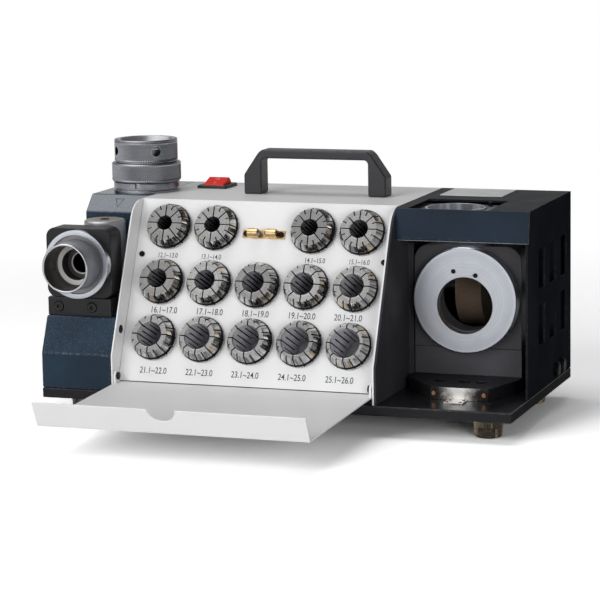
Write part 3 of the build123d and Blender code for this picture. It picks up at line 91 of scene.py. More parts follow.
# Soft boxes of the studio: strength, direction, and the cosines where each begins and is full
SOFT_BOXES = (
    (0.6, (0.2, -0.97, 0.12), 0.86, 0.96),
    (0.6, (-0.6, -0.5, 0.62), 0.55, 0.85),
    (2.2, (-0.33, -0.15, 0.93), 0.86, 0.97),
    (0.5, (-0.3, 0.94, 0.16), 0.72, 0.95),
    (1.3, (-0.34, -0.94, 0.06), 0.93, 0.985),
)


def middle(node):
    """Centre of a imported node's box."""
    low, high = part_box(node)
    return (low + high) / 2.0


def panel_face():
    """Distance of the leaning panel's front face along its normal."""
    return max(vert.co.dot(PANEL_NORMAL) for vert in frame["nodes"]["collet_panel"].data.vertices)


def on_panel(spot, lift=0.0):
    """A point moved along the panel's normal to a height above its front face."""
    return spot + PANEL_NORMAL * (panel_face() + lift - spot.dot(PANEL_NORMAL))


def turned_to(normal, spot):
    """Matrix that lays a flat piece on a surface, with its width along the machine's width."""
    return Matrix.Translation(spot) @ Matrix((RIGHT, normal.cross(RIGHT), normal)).transposed().to_4x4()


# Shader expressions


class Wire:
    """An output socket of a finish. Arithmetic on it adds Math nodes."""

    def __init__(self, finish, socket):
        self.finish = finish
        self.socket = socket

    def math(self, operation, *values):
        return self.finish.node("ShaderNodeMath", {"operation": operation}, dict(enumerate(values)))

    def __add__(self, other):
        return self.math("ADD", self, other)

    __radd__ = __add__

    def __sub__(self, other):
        return self.math("SUBTRACT", self, other)

    def __rsub__(self, other):
        return self.math("SUBTRACT", other, self)

    def __mul__(self, other):
        return self.math("MULTIPLY", self, other)

    __rmul__ = __mul__

    def larger(self, other):
        return self.math("MAXIMUM", self, other)

    def between(self, low, high):
        """Smooth step from 0 at low to 1 at high."""
        settings = {"interpolation_type": "SMOOTHSTEP"}
        return self.finish.node("ShaderNodeMapRange", settings, {"Value": self, 1: low, 2: high})

    def colours(self, first, second):
        """The first colour where this is 0, the second where it is 1."""
        sockets = {0: self, 6: first, 7: second}
        return self.finish.node("ShaderNodeMix", {"data_type": "RGBA"}, sockets, 2)

    def shades(self, colour, dark, light):
        """A colour from its dark to its light shade over the middle of a pattern."""
        return self.between(0.3, 0.7).colours(scaled(colour, dark), scaled(colour, light))

    def times(self, x, y, z):
        """A vector multiplied by a number along each axis."""
        settings = {"operation": "MULTIPLY"}
        return self.finish.node("ShaderNodeVectorMath", settings, {0: self, 1: (x, y, z)})

    def along(self, direction):
        """How far a vector points along a direction."""
        settings = {"operation": "DOT_PRODUCT"}
        return self.finish.node("ShaderNodeVectorMath", settings, {0: self, 1: direction}, "Value")

    def length(self):
        return self.finish.node("ShaderNodeVectorMath", {"operation": "LENGTH"}, {0: self}, "Value")


class Finish:
    """A material or world being made from nodes."""

    def __init__(self, holder):
        self.holder = holder
        self.holder.use_nodes = True
        self.tree = self.holder.node_tree
        self.tree.nodes.clear()

    def node(self, kind, settings=None, sockets=None, output=0):
        """Adds a node: its settings first, then the values or links of its sockets."""
        made = self.tree.nodes.new(kind)
        for key, value in (settings or {}).items():
            setattr(made, key, value)
        for key, value in (sockets or {}).items():
            socket = made.inputs[key]
            if isinstance(value, Wire):
                self.tree.links.new(value.socket, socket)
            elif socket.type == "RGBA":
                socket.default_value = (*value[:3], 1.0)
            else:
                socket.default_value = value
        return Wire(self, made.outputs[output])

    def place(self):
        """Object coordinates in metres."""
        return self.node("ShaderNodeTexCoord", output="Object")

    def ray(self, kind):
        """1 for light paths of one kind."""
        return self.node("ShaderNodeLightPath", output=kind)

    def spots(self, size, detail=2.0, sharpness=0.5, at=None):
        """Noise with spots of about the given size in metres."""
        sockets = {"Vector": at or self.place(), "Scale": 1.0 / size, "Detail": detail}
        sockets["Roughness"] = sharpness
        return self.node("ShaderNodeTexNoise", {}, sockets)

    def cells(self, size):
        """Distance to the nearest of scattered points."""
        return self.node("ShaderNodeTexVoronoi", {}, {"Vector": self.place(), "Scale": 1.0 / size})

    def chance(self, value):
        """A random number that stays the same for equal values."""
        return self.node("ShaderNodeTexWhiteNoise", {"noise_dimensions": "1D"}, {"W": value})

    def attribute(self, name, output="Fac"):
        """A value that the piece's own mesh carries."""
        return self.node("ShaderNodeAttribute", {"attribute_name": name}, {}, output)

    def bump(self, height, depth, strength):
        """A normal from a height, with its depth in metres."""
        sockets = {"Height": height, "Distance": depth, "Strength": strength}
        return self.node("ShaderNodeBump", {}, sockets)

    def close(self, shader, kind="ShaderNodeOutputMaterial"):
        """Ends the finish with a shader and returns its material or world."""
        output = self.tree.nodes.new(kind)
        self.tree.links.new(shader.socket, output.inputs["Surface"])
        return self.holder

    def surface(self, **sockets):
        """Ends the finish with a Principled shader."""
        named = {key.replace("_", " ").title(): value for key, value in sockets.items()}
        named = {key.replace("Ior", "IOR"): value for key, value in named.items()}
        return self.close(self.node("ShaderNodeBsdfPrincipled", {}, named, "BSDF"))


finishes = {}


def finish_of(maker, name, *arguments):
    """Makes each finish once and keeps it by name."""
    if name not in finishes:
        finishes[name] = maker(Finish(bpy.data.materials.new(name)), *arguments)
    return finishes[name]


def scaled(colour, factor):
    """A colour made darker or lighter."""
    return tuple(channel * factor for channel in colour)


# Finishes


def powder_coat(f, colour):
    """White powder coat: faint orange peel, soft clouding and scuffed edges."""
    cloud = f.spots(0.09, 3.0)
    scuff = f.attribute("rim") * f.spots(0.004, 3.0).between(0.45, 0.7)
    base = cloud.shades(colour, 0.97, 1.0)
    shade = (scuff * 0.3).colours(base, scaled(colour, 0.8))
    roughness = 0.42 + 0.14 * f.spots(0.03, 3.0)
    normal = f.bump(f.spots(0.0011, 2.0, 0.6), 0.00006, 0.3)
    return f.surface(base_color=shade, roughness=roughness, normal=normal, specular_ior_level=0.35)


def hammer_paint(f, colour, shine, coat, flecks=0.6):
    """Dark blue hammered paint: dimples, metal flecks and rubbed edges."""
    dimples = f.cells(0.0036)
    fleck = f.spots(0.0011, 2.0, 0.7).between(0.56, 0.68)
    cloud = f.spots(0.04, 3.0)
    base = cloud.shades(colour, 0.82, 1.15)
    flecked = (fleck * flecks).colours(base, scaled(colour, 4.4))
    worn = f.attribute("rim") * f.spots(0.0025, 4.0, 0.7).between(0.46, 0.64)
    shade = (worn * 0.4).colours(flecked, (0.2, 0.24, 0.29))
    roughness = 0.34 + 0.12 * f.spots(0.012, 2.0)
    normal = f.bump(dimples, 0.0003, 0.22)
    return f.surface(
        base_color=shade, roughness=roughness, normal=normal, specular_ior_level=shine, coat_weight=coat
    )


def dark_paint(f, colour, gloss, grain, sheen):
    """Sprayed dark paint: fine texture, dust and rubbed edges."""
    cloud = f.spots(0.05, 4.0).between(0.3, 0.75)
    base = cloud.colours(scaled(colour, 0.85), scaled(colour, 1.3))
    dust = f.spots(0.0016, 3.0, 0.7).between(0.62, 0.78)
    dusty = (dust * 0.12).colours(base, (0.13, 0.13, 0.14))
    worn = f.attribute("rim") * f.spots(0.005, 4.0, 0.6).between(0.48, 0.64)
    shade = (worn * 0.35).colours(dusty, (0.17, 0.17, 0.18))
    roughness = gloss + 0.16 * f.spots(0.018, 3.0)
    normal = f.bump(f.spots(grain, 2.0, 0.6), 0.00008, 0.35)
    return f.surface(base_color=shade, roughness=roughness, normal=normal, specular_ior_level=sheen)


def lathe_steel(f, colour, gloss, ring_size, dirt, metal=1.0):
    """Turned metal: fine rings, oil marks, painted shade in the knurl valleys and painted highlights on
    the edge crests, partly edge wear.
    """
    lathe = f.attribute("lathe", "Vector").times(1.0, 1.0, 0.0)
    rings = f.spots(ring_size, 3.0, 0.7, lathe)
    broad = f.spots(ring_size * 9.0, 2.0, 0.5, lathe)
    smear = f.spots(0.009, 4.0, 0.6)
    base = (rings * 0.5 + broad * 0.5).shades(colour, 0.86, 1.1)
    stained = (smear.between(0.5, 0.75) * dirt).colours(base, (0.24, 0.19, 0.13))
    # Painted shade: the knurl's valleys are darkened where shade falls.
    sunk = (f.attribute("valley") * 0.55).colours(stained, scaled(colour, 0.12))
    # Painted highlight along the crests of the rounded edges, partly edge wear.
    shade = (f.attribute("rim") * 0.5).colours(sunk, (0.8, 0.8, 0.81))
    roughness = gloss + 0.12 * rings + 0.1 * smear
    normal = f.bump(rings, 0.00002, 0.4)
    return f.surface(base_color=shade, metallic=metal, roughness=roughness, normal=normal)


def ground_steel(f, colour):
    """Ground collet steel: a tone for each collet and each jaw, with grit, oil and painted highlights on
    the edges.
    """
    rings = f.spots(0.0005, 3.0, 0.7, f.attribute("lathe", "Vector").times(1.0, 1.0, 0.0))
    grit = f.spots(0.0009, 3.0, 0.75)
    smear = f.spots(0.007, 4.0, 0.6)
    jaw = f.attribute("jaw")
    each = f.chance(jaw)
    dull = 0.3 * each + 0.5 * f.chance(jaw.math("FLOOR", jaw))
    base = rings.shades(colour, 0.8, 1.12)
    varied = dull.colours(base, scaled(colour, 0.3))
    gritty = (grit.between(0.5, 0.66) * 0.5).colours(varied, scaled(colour, 0.2))
    oily = (smear.between(0.56, 0.74) * 0.3).colours(gritty, (0.34, 0.25, 0.14))
    # Painted highlight along the crests of the rounded edges.
    shade = (f.attribute("rim") * 0.7).colours(oily, (0.92, 0.92, 0.93))
    roughness = 0.2 + 0.14 * rings + 0.14 * each
    normal = f.bump(grit, 0.00003, 0.4)
    return f.surface(base_color=shade, metallic=1.0, roughness=roughness, normal=normal)


def polished_turn_painted_reflections(f, colour, share, dark, glint_amount, metal=1.0):
    """Polished round steel with painted reflections: dark and bright streaks, each a share of a turn, a
    few straw-coloured painted glints and painted highlights on the edge crests.
    """
    lathe = f.attribute("lathe", "Vector")
    # Painted reflections: the dark and bright streaks round the axis stand in for reflections.
    reflection_streak = f.spots(share, 3.0, 0.7, lathe.times(0.0, 1.0, 1.0))
    # Painted glints: a few straw-coloured patches.
    straw_glint = f.spots(share * 2.0, 2.0, 0.5, lathe.times(0.0, 1.0, 0.7)).between(0.56, 0.66)
    base = reflection_streak.between(0.38, 0.62).colours(scaled(colour, dark), colour)
    tinted = (straw_glint * glint_amount).colours(base, (0.6, 0.41, 0.17))
    # Painted highlight along the edge crests.
    shade = (f.attribute("rim") * 0.8).colours(tinted, (0.92, 0.92, 0.93))
    roughness = 0.1 + 0.14 * reflection_streak
    return f.surface(base_color=shade, metallic=metal, roughness=roughness)


def bore_steel_painted_shade(f, dark, light):
    """Matt steel of the collets' bores with painted shade: darker in the narrow ones, lighter in the wide
    ones.
    """
    tone = f.spots(0.0015, 3.0, 0.7)
    size = f.attribute("jaw").between(13.0, 25.0)
    # Painted shade: the bore runs from the dark colour in the narrowest collet to the light one in the
    # widest.
    base = size.colours(dark, light)
    shade = (tone.between(0.3, 0.7) * 0.3).colours(base, dark)
    return f.surface(base_color=shade, metallic=0.2, roughness=0.45 + 0.2 * tone)


def slot_shade_steel(f, colour):
    """Steel painted dark as shade in slots and grooves."""
    tone = f.spots(0.002, 3.0, 0.7)
    base = tone.shades(colour, 0.7, 1.4)
    return f.surface(base_color=base, metallic=0.4, roughness=0.4 + 0.2 * tone)


def strip_painted_reflection(f, colour, centre, reach):
    """Bright strip with a painted reflection: light in the middle and dark towards its ends."""
    across = f.place().along(RIGHT) - centre
    away = across.math("ABSOLUTE", across) * (1.0 / reach)
    # This noise breaks up the edge of the painted reflection and varies the roughness.
    tarnish = f.spots(0.006, 4.0, 0.6)
    reflection_mask = (away + tarnish * 0.7).between(0.45, 1.05)
    base = reflection_mask.colours(colour, scaled(colour, 0.05))
    metal = 0.55 + 0.45 * reflection_mask
    roughness = 0.16 + 0.2 * tarnish
    normal = f.bump(f.spots(0.0012, 3.0, 0.7, f.place().times(0.12, 1.0, 1.0)), 0.00002, 0.5)
    return f.surface(base_color=base, metallic=metal, roughness=roughness, normal=normal)


def plain_metal(f, colour, gloss, scratch):
    """Plated or cast metal with fine scratches and a slight tarnish."""
    scratches = f.spots(0.0012, 3.0, 0.7, f.place().times(0.12, 1.0, 1.0))
    tarnish = f.spots(0.008, 4.0, 0.6)
    base = tarnish.between(0.35, 0.75).colours(colour, scaled(colour, 0.68))
    roughness = gloss + scratch * scratches + 0.1 * tarnish
    normal = f.bump(scratches, 0.00002, 0.5)
    return f.surface(base_color=base, metallic=1.0, roughness=roughness, normal=normal)


def moulded_plastic(f, colour, gloss):
    """Moulded plastic with a fine spark-eroded texture."""
    cloud = f.spots(0.03, 3.0)
    rub = f.attribute("rim") * f.spots(0.008, 3.0).between(0.4, 0.7)
    base = cloud.shades(colour, 0.88, 1.12)
    shade = (rub * 0.4).colours(base, scaled(colour, 1.9))
    roughness = gloss + 0.15 * f.spots(0.01, 3.0)
    normal = f.bump(f.spots(0.0008, 2.0, 0.6), 0.00005, 0.3)
    return f.surface(base_color=shade, roughness=roughness, normal=normal)


def amber_rubber(f, colour):
    """Clear smoky rubber with a faint cloud in it."""
    base = f.spots(0.01, 4.0).shades(colour, 0.85, 1.1)
    roughness = 0.05 + 0.1 * f.spots(0.006, 3.0)
    normal = f.bump(f.spots(0.004, 2.0), 0.0002, 0.3)
    return f.surface(
        base_color=base, roughness=roughness, normal=normal, transmission_weight=0.9, ior=1.45
    )


def bonded_abrasive(f, colour):
    """Brown abrasive grit in its bond."""
    tone = f.spots(0.0009, 3.0, 0.7)
    base = tone.shades(colour, 0.7, 1.3)
    normal = f.bump(f.cells(0.0009), 0.0003, 0.7)
    return f.surface(base_color=base, roughness=0.72 + 0.2 * tone, normal=normal)


def printed_ink(f, colour):
    """Screen-printed ink with slightly uneven cover."""
    tone = f.spots(0.0011, 3.0, 0.6)
    base = tone.between(0.35, 0.75).colours(scaled(colour, 0.7), scaled(colour, 1.4))
    return f.surface(base_color=base, roughness=0.6 + 0.2 * tone, specular_ior_level=0.15)


def zinc_steel():
    return finish_of(plain_metal, "zinc_steel", (0.5, 0.5, 0.51), 0.26, 0.16)


def black_oxide():
    return finish_of(plain_metal, "black_oxide", (0.03, 0.03, 0.033), 0.36, 0.14)


def bright_steel():
    return finish_of(plain_metal, "bright_steel", (0.66, 0.66, 0.66), 0.12, 0.12)


# Mesh helpers


def fresh():
    """An empty bmesh with room for the edge marks of wear and of painted highlights."""
    bm = bmesh.new()
    bm.verts.layers.float.new("rim")
    return bm


def merged_copy(node, flatten=True):
    """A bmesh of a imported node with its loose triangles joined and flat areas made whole."""
    bm = bmesh.new()
    bm.from_mesh(frame["nodes"][node].data)
    bmesh.ops.remove_doubles(bm, verts=bm.verts, dist=2e-6)
    bm.verts.layers.float.new("rim")
    if flatten:
        bmesh.ops.dissolve_limit(bm, angle_limit=radians(0.6), verts=bm.verts, edges=bm.edges)
    return bm


def soften(bm, width, segments=2, sharp=28.0):
    """Rounds every edge sharper than an angle and marks the crest of each round for wear and for painted
    highlights.
    """
    rim = bm.verts.layers.float["rim"]
    limit = radians(sharp)
    edges = [e for e in bm.edges if e.is_manifold and e.calc_face_angle(0.0) > limit]
    made = bmesh.ops.bevel(
        bm, geom=edges, offset=width, offset_type="OFFSET", affect="EDGES", segments=segments,
        profile=0.5, material=-1, clamp_overlap=False, loop_slide=True,
    )
    rounds = set(made["faces"])
    for face in rounds:
        for vert in face.verts:
            if all(near in rounds for near in vert.link_faces):
                vert[rim] = 1.0
    return bm


def turn_of(reach, axis):
    """Share of a turn about an axis at which a point lies, counted from the right."""
    return atan2(reach.dot(axis.cross(RIGHT)), reach.dot(RIGHT)) / (2.0 * pi)


def mark_lathe(bm, centre, axis, number=0.0):
    """Stores each vertex's radius and height about a turning axis, and its share of a turn."""
    layer = bm.verts.layers.float_vector.new("lathe")
    for vert in bm.verts:
        reach = vert.co - centre
        height = reach.dot(axis)
        vert[layer] = ((reach - axis * height).length, height, turn_of(reach, axis) + number)


def mark_jaws(bm, centre, axis, number):
    """Gives the faces of each jaw of a collet a number of their own."""
    layer = bm.faces.layers.float.new("jaw")
    for face in bm.faces:
        turn = turn_of(face.calc_center_median() - centre, axis)
        face[layer] = number + floor(turn % 1.0 * JAWS) / JAWS


def spun(profile, centre, axis, steps):
    """Closed ring from an outline of (radius, height) points in millimetres spun about an axis."""
    bm = fresh()
    side = axis.orthogonal().normalized()
    verts = [bm.verts.new(centre + side * (r * MM) + axis * (h * MM)) for r, h in profile]
    edges = [bm.edges.new(pair) for pair in zip(verts, verts[1:] + verts[:1])]
    bmesh.ops.spin(
        bm, geom=verts + edges, cent=centre, axis=axis, angle=2.0 * pi, steps=steps, use_merge=True
    )
    bmesh.ops.remove_doubles(bm, verts=bm.verts, dist=1e-6)
    bmesh.ops.recalc_face_normals(bm, faces=bm.faces)
    return bm


def knurl(bm, centre, low, high, rows, steps, depth):
    """Sinks every second point of a spun wall between two heights, which leaves a diamond knurl."""
    # The valley marks also carry the painted shade that the lathe finish puts in the knurl's valleys.
    sunk = bm.verts.layers.float.new("valley")
    side = UP.orthogonal().normalized()
    across = UP.cross(side)
    pitch = (high - low) / rows
    wall = max((vert.co - centre).to_2d().length for vert in bm.verts) - 0.2 * depth
    for vert in bm.verts:
        reach = vert.co - centre
        row = (reach.z - low) / pitch
        flat = Vector((reach.x, reach.y, 0.0))
        if flat.length < wall or row < 0.5 or row > rows - 0.5:
            continue
        turn = atan2(flat.dot(across), flat.dot(side)) / (2.0 * pi)
        if (round(turn * steps) + round(row)) % 2:
            vert.co -= flat.normalized() * depth
            vert[sunk] = 1.0
    for face in list(bm.faces):
        valleys = [vert for vert in face.verts if vert[sunk] > 0.5]
        if len(face.verts) == 4 and len(valleys) == 2 and bm.edges.get(valleys) is None:
            bmesh.utils.face_split(face, *valleys)


def block(bm, size, spot):
    """Adds a block of a width, length and thickness that lies along the leaning panel."""
    made = bmesh.ops.create_cube(bm, size=1.0)
    place = turned_to(PANEL_NORMAL, spot) @ Matrix.Diagonal((*size, 1.0))
    bmesh.ops.transform(bm, matrix=place, verts=made["verts"])


def mesh_of(bm, name):
    """Turns a finished bmesh into a mesh."""
    mesh = bpy.data.meshes.new(name)
    bm.to_mesh(mesh)
    bm.free()
    return mesh


def absorb(bm, mesh):
    """Adds a mesh to a bmesh and throws the mesh away."""
    bm.from_mesh(mesh)
    bpy.data.meshes.remove(mesh)


def placed(name, data):
    """A new object in the scene."""
    holder = bpy.data.objects.new(name, data)
    bpy.context.scene.collection.objects.link(holder)
    return holder


def drilled(bm, holes):
    """Cuts round holes, each a start, a direction, the two radii and a depth."""
    drills = bmesh.new()
    for start, along, mouth, end, depth in holes:
        made = bmesh.ops.create_cone(
            drills, cap_ends=True, segments=40, radius1=mouth, radius2=end, depth=depth
        )
        turn = along.to_track_quat("Z", "Y").to_matrix().to_4x4()
        place = Matrix.Translation(start + along * depth / 2.0) @ turn
        bmesh.ops.transform(drills, matrix=place, verts=made["verts"])
    body, tool = [placed("scratch", mesh_of(one, "scratch")) for one in (bm, drills)]
    cut = body.modifiers.new("holes", "BOOLEAN")
    cut.operation = "DIFFERENCE"
    cut.solver = "EXACT"
    cut.object = tool
    result = bmesh.new()
    result.from_object(body, bpy.context.evaluated_depsgraph_get())
    for one in (body, tool):
        mesh = one.data
        bpy.data.objects.remove(one)
        bpy.data.meshes.remove(mesh)
    return result


def facet_of(node, direction, limit):
    """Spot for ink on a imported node's largest face within an angle of a direction, and its normal."""
    bm = merged_copy(node)
    faces = [face for face in bm.faces if face.normal.angle(direction) < radians(limit)]
    largest = max(faces, key=lambda face: face.calc_area())
    normal = largest.normal.copy()
    spot = largest.calc_center_bounds() + normal * INK_LIFT
    bm.free()
    return spot, normal


def lettering(words, height, width, place):
    """Text as a thin mesh, centred and laid on a surface by a matrix."""
    size_to_height, boldness = 1.38, 0.008
    curve = bpy.data.curves.new("lettering", "FONT")
    curve.body = words
    curve.size = height * size_to_height
    curve.align_x = "CENTER"
    curve.align_y = "CENTER"
    curve.offset = boldness * height
    curve.extrude = INK_HALF
    curve.resolution_u = 4
    holder = placed("lettering", curve)
    shown = holder.evaluated_get(bpy.context.evaluated_depsgraph_get())
    mesh = bpy.data.meshes.new_from_object(shown)
    bpy.data.objects.remove(holder)
    bpy.data.curves.remove(curve)
    mesh.transform(place @ Matrix.Diagonal((width, 1.0, 1.0, 1.0)))
    return mesh


def piece_from(name, bm, material, body="machine", nodes=(), crisp=32.0, weighted=True):
    """Turns a finished bmesh into a piece that rides on a body and stands for the named nodes."""
    mesh = mesh_of(bm, name)
    mesh.materials.append(material)
    piece = placed(name, mesh)
    mesh.polygons.foreach_set("use_smooth", [True] * len(mesh.polygons))
    mesh.set_sharp_from_angle(angle=radians(crisp))
    if weighted:
        piece.modifiers.new("even_shading", "WEIGHTED_NORMAL").keep_sharp = True
    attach(piece, body)
    if nodes:
        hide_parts(*nodes)
    return piece


def softened_piece(name, node, width, material, body="machine", segments=2):
    """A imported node's shape with rounded edges in place of the node."""
    bm = soften(merged_copy(node), width, segments)
    return piece_from(name, bm, material, body, (node,), SHEET_CRISP)


def turned_piece(name, node, axis, width, material, centre=None):
    """A packed turned node with broken edges and its lathe rings."""
    bm = soften(merged_copy(node, False), width)
    mark_lathe(bm, centre or middle(node), axis)
    return piece_from(name, bm, material, nodes=(node,), crisp=TURNED_CRISP)


def second_finish(piece, material, chosen):
    """Gives the faces that a test chooses, from their centre and normal, another finish."""
    piece.data.materials.append(material)
    index = len(piece.data.materials) - 1
    for face in piece.data.polygons:
        if chosen(face.center, face.normal):
            face.material_index = index


def dress(material, *nodes):
    """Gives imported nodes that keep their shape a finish."""
    for node in nodes:
        for slot in frame["nodes"][node].material_slots:
            slot.material = material


# Settings


def colour_setting(label, text, value):
    return FloatVectorProperty(name=label, description=text, default=value, subtype="COLOR", min=0, max=1)


def size_setting(label, text, value):
    return FloatProperty(name=label, description=text, default=value, unit="LENGTH", precision=5)


def angle_setting(label, text, degrees):
    return FloatProperty(name=label, description=text, default=radians(degrees), subtype="ANGLE")


def number_setting(label, text, value):
    return FloatProperty(name=label, description=text, default=value)


class GrinderColours(bpy.types.PropertyGroup):
    """Colours of the finishes"""

    white: colour_setting("White coat", "Powder coat of the collet box", (0.8, 0.8, 0.807))
    blue: colour_setting("Blue paint", "Hammered paint of the left casting", (0.016, 0.029, 0.046))
    header: colour_setting("Header", "Paint of the header strip", (0.006, 0.0132, 0.0245))
    cabinet: colour_setting("Cabinet", "Paint of the right cabinet", (0.0065, 0.0075, 0.0095))
    # The inner wall of the bay is painted several times lighter than the cabinet: painted light from the
    # front right.
    inner: colour_setting("Inner wall", "Paint of the inner wall of the bay", (0.034, 0.033, 0.0375))
    base: colour_setting("Base", "Paint of the base plate", (0.011, 0.011, 0.013))
    port: colour_setting("Port block", "Paint of the right port", (0.056, 0.055, 0.063))
    black: colour_setting("Black block", "Paint of the left port block", (0.008, 0.008, 0.009))
    handle: colour_setting("Handle", "Plastic of the handle", (0.025, 0.0235, 0.0275))
    rocker: colour_setting("Rocker", "Plastic of the switch rocker", (0.84, 0.017, 0.009))
    rubber: colour_setting("Feet", "Rubber of the feet", (0.2, 0.16, 0.1))
    brass: colour_setting("Brass", "Brass of the catch", (0.84, 0.6, 0.3))
    wheel: colour_setting("Wheel", "Abrasive of the wheels", (0.12, 0.085, 0.06))
    collet: colour_setting("Collets", "Ground steel of the collets", (0.67, 0.665, 0.655))
    silver: colour_setting("Silver", "Turned aluminium of the port rings", (0.62, 0.645, 0.7))


class GrinderSizes(bpy.types.PropertyGroup):
    """Sizes of the fine work"""

    sheet_round: size_setting("Sheet edge", "Round on the edges of the sheet parts", 0.4 * MM)
    block_round: size_setting("Block edge", "Round on the edges of the port blocks", 0.9 * MM)
    cast_round: size_setting("Casting edge", "Round on the edges of the left casting", 1.3 * MM)
    handle_round: size_setting("Handle edge", "Round on the edges of the handle", 1.7 * MM)
    turned_round: size_setting("Turned edge", "Broken edge of the turned parts", 0.3 * MM)
    collet_round: size_setting("Collet edge", "Broken edge of the collets", 0.16 * MM)
    knurl_depth: size_setting("Knurl depth", "Depth of the diamond knurl", 0.5 * MM)
    knurl_count: IntProperty(
        name="Knurl count", description="Diamonds round the nut", default=84, min=12
    )
    hole_radius: size_setting("Bar hole", "Radius of the holes in the chuck nut", 4.3 * MM)
    numeral_height: size_setting("Numerals", "Height of the printed collet sizes", 5.9 * MM)
    mark_width: size_setting("Mark width", "Width of the setting mark on the casting", 8.6 * MM)
    mark_height: size_setting("Mark height", "Height of the setting mark on the casting", 10.4 * MM)
    mark_line: size_setting("Mark line", "Line width of the setting mark", 0.95 * MM)


class GrinderStage(bpy.types.PropertyGroup):
    """Camera and lights"""

    azimuth: angle_setting("Azimuth", "Camera angle round the part", 19.724)
    elevation: angle_setting("Elevation", "Camera angle above the floor", 9.389)
    roll: angle_setting("Roll", "Camera tilt", -0.936)
    distance: size_setting("Distance", "Camera distance", 2.29393)
    focus: FloatVectorProperty(
        name="Aim", description="Point that the camera looks at", default=(-0.00815, 0.07815, 0.0998),
        subtype="TRANSLATION", precision=5,
    )
    lens: number_setting("Lens", "Focal length in millimetres", 152.53)
    key: number_setting("Key light", "Power of the large front light", 44.0)
    fill: number_setting("Fill light", "Power of the light at the front right", 38.0)
    top: number_setting("Top light", "Power of the light above", 14.0)
    sky: number_setting("Sky", "Strength of the even light", 0.2)


# Pieces


class GRINDER_OT_base(bpy.types.Operator):
    """Base plate, rubber feet and their screws"""

    bl_idname = "grinder.base"
    bl_label = "Base and feet"

    def execute(self, context):
        colours = context.scene.grinder_colours
        paint = finish_of(dark_paint, "base_gloss_paint", colours.base, 0.12, 0.0014, 0.3)
        edge = finish_of(dark_paint, "base_edge_paint", colours.base, 0.5, 0.0014, 0.04)
        rubber = finish_of(amber_rubber, "amber_rubber", colours.rubber)
        plate = softened_piece("base_sheet", "base_plate", PLAIN_EDGE, paint)
        second_finish(plate, edge, lambda spot, normal: abs(normal.z) < 0.5 and normal.y > -0.5)
        softened_piece("foot_rubbers", "feet", PLAIN_EDGE, rubber)
        softened_piece("pan_head_screws", "pan_screws", PLAIN_EDGE, zinc_steel())
        return {"FINISHED"}


class GRINDER_OT_box(bpy.types.Operator):
    """White collet box with its leaning panel, panel screws and printed sizes"""

    bl_idname = "grinder.box"
    bl_label = "Collet box"

    def execute(self, context):
        sizes = context.scene.grinder_sizes
        white = finish_of(powder_coat, "white_powder_coat", context.scene.grinder_colours.white)
        softened_piece("box_sheet", "collet_box", sizes.sheet_round, white)
        self.panel(white)
        self.lining(white)
        self.wall_screw()
        softened_piece("panel_screw_heads", "panel_screws", SMALL_EDGE, black_oxide())
        self.numerals(sizes)
        return {"FINISHED"}

    def panel(self, white):
        """Leaning panel, with its front skin carried up to the box's fold and a return at its foot."""
        skin_reach, return_drop, near = 1.5 * MM, 7.8 * MM, 0.05 * MM
        bm = merged_copy("collet_panel")
        top = max(vert.co.dot(PANEL_UP) for vert in bm.verts)
        face = panel_face()
        for vert in bm.verts:
            if top - vert.co.dot(PANEL_UP) < near and face - vert.co.dot(PANEL_NORMAL) < near:
                vert.co += PANEL_UP * skin_reach
        foot = min(bm.faces, key=lambda one: one.normal.dot(PANEL_UP))
        made = bmesh.ops.extrude_face_region(bm, geom=[foot])
        low = [one for one in made["geom"] if isinstance(one, bmesh.types.BMVert)]
        bmesh.ops.translate(bm, vec=-UP * return_drop, verts=low)
        bmesh.ops.delete(bm, geom=[foot], context="FACES")
        soften(bm, SMALL_EDGE)
        piece_from("panel_sheet", bm, white, nodes=("collet_panel",), crisp=SHEET_CRISP)

    def lining(self, white):
        """White sheet inside the box, behind the tails of the collets."""
        behind, thick, end_gap, side_bite = 34.0 * MM, 1.0 * MM, 24.0 * MM, 0.6 * MM
        low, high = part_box("collet_panel")
        length = (high.z - low.z) / cos(LEAN) - end_gap
        bm = fresh()
        block(bm, (high.x - low.x + side_bite, length, thick), on_panel((low + high) / 2.0, -behind))
        soften(bm, SMALL_EDGE)
        piece_from("box_lining", bm, white)

    def wall_screw(self):
        """Black button screw in the small hole of the left wall."""
        sunk, along, height = 0.3 * MM, -1.4 * MM, 80.7 * MM
        spot = Vector((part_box("collet_panel")[0].x - sunk, along, height))
        outline = [
            (0.0, -1.4), (2.4, -1.4), (2.4, 0.0), (3.9, 0.0), (3.9, 0.35), (3.2, 0.85), (1.6, 0.95),
            (1.3, 0.4), (0.0, 0.4),
        ]
        piece_from("wall_screw", spun(outline, spot, RIGHT, 32), black_oxide())

    def numerals(self, sizes):
        """Prints each collet's range under its seat."""
        sizes_left = iter(COLLET_SIZES)
        bm = bmesh.new()
        for drop, tall, width, shifts in PRINT_ROWS:
            for shift in shifts:
                size = next(sizes_left)
                spot = on_panel(mounts["collet_%d_grip" % size], INK_LIFT)
                spot += RIGHT * shift * MM - PANEL_UP * drop * MM
                words = "%.1f~%.1f" % (size - 0.9, size)
                place = turned_to(PANEL_NORMAL, spot)
                absorb(bm, lettering(words, sizes.numeral_height * tall, width, place))
        bmesh.ops.remove_doubles(bm, verts=bm.verts, dist=1e-7)
        ink = finish_of(printed_ink, "numeral_ink", (0.06, 0.062, 0.068))
        piece_from("size_numerals", bm, ink, weighted=False)


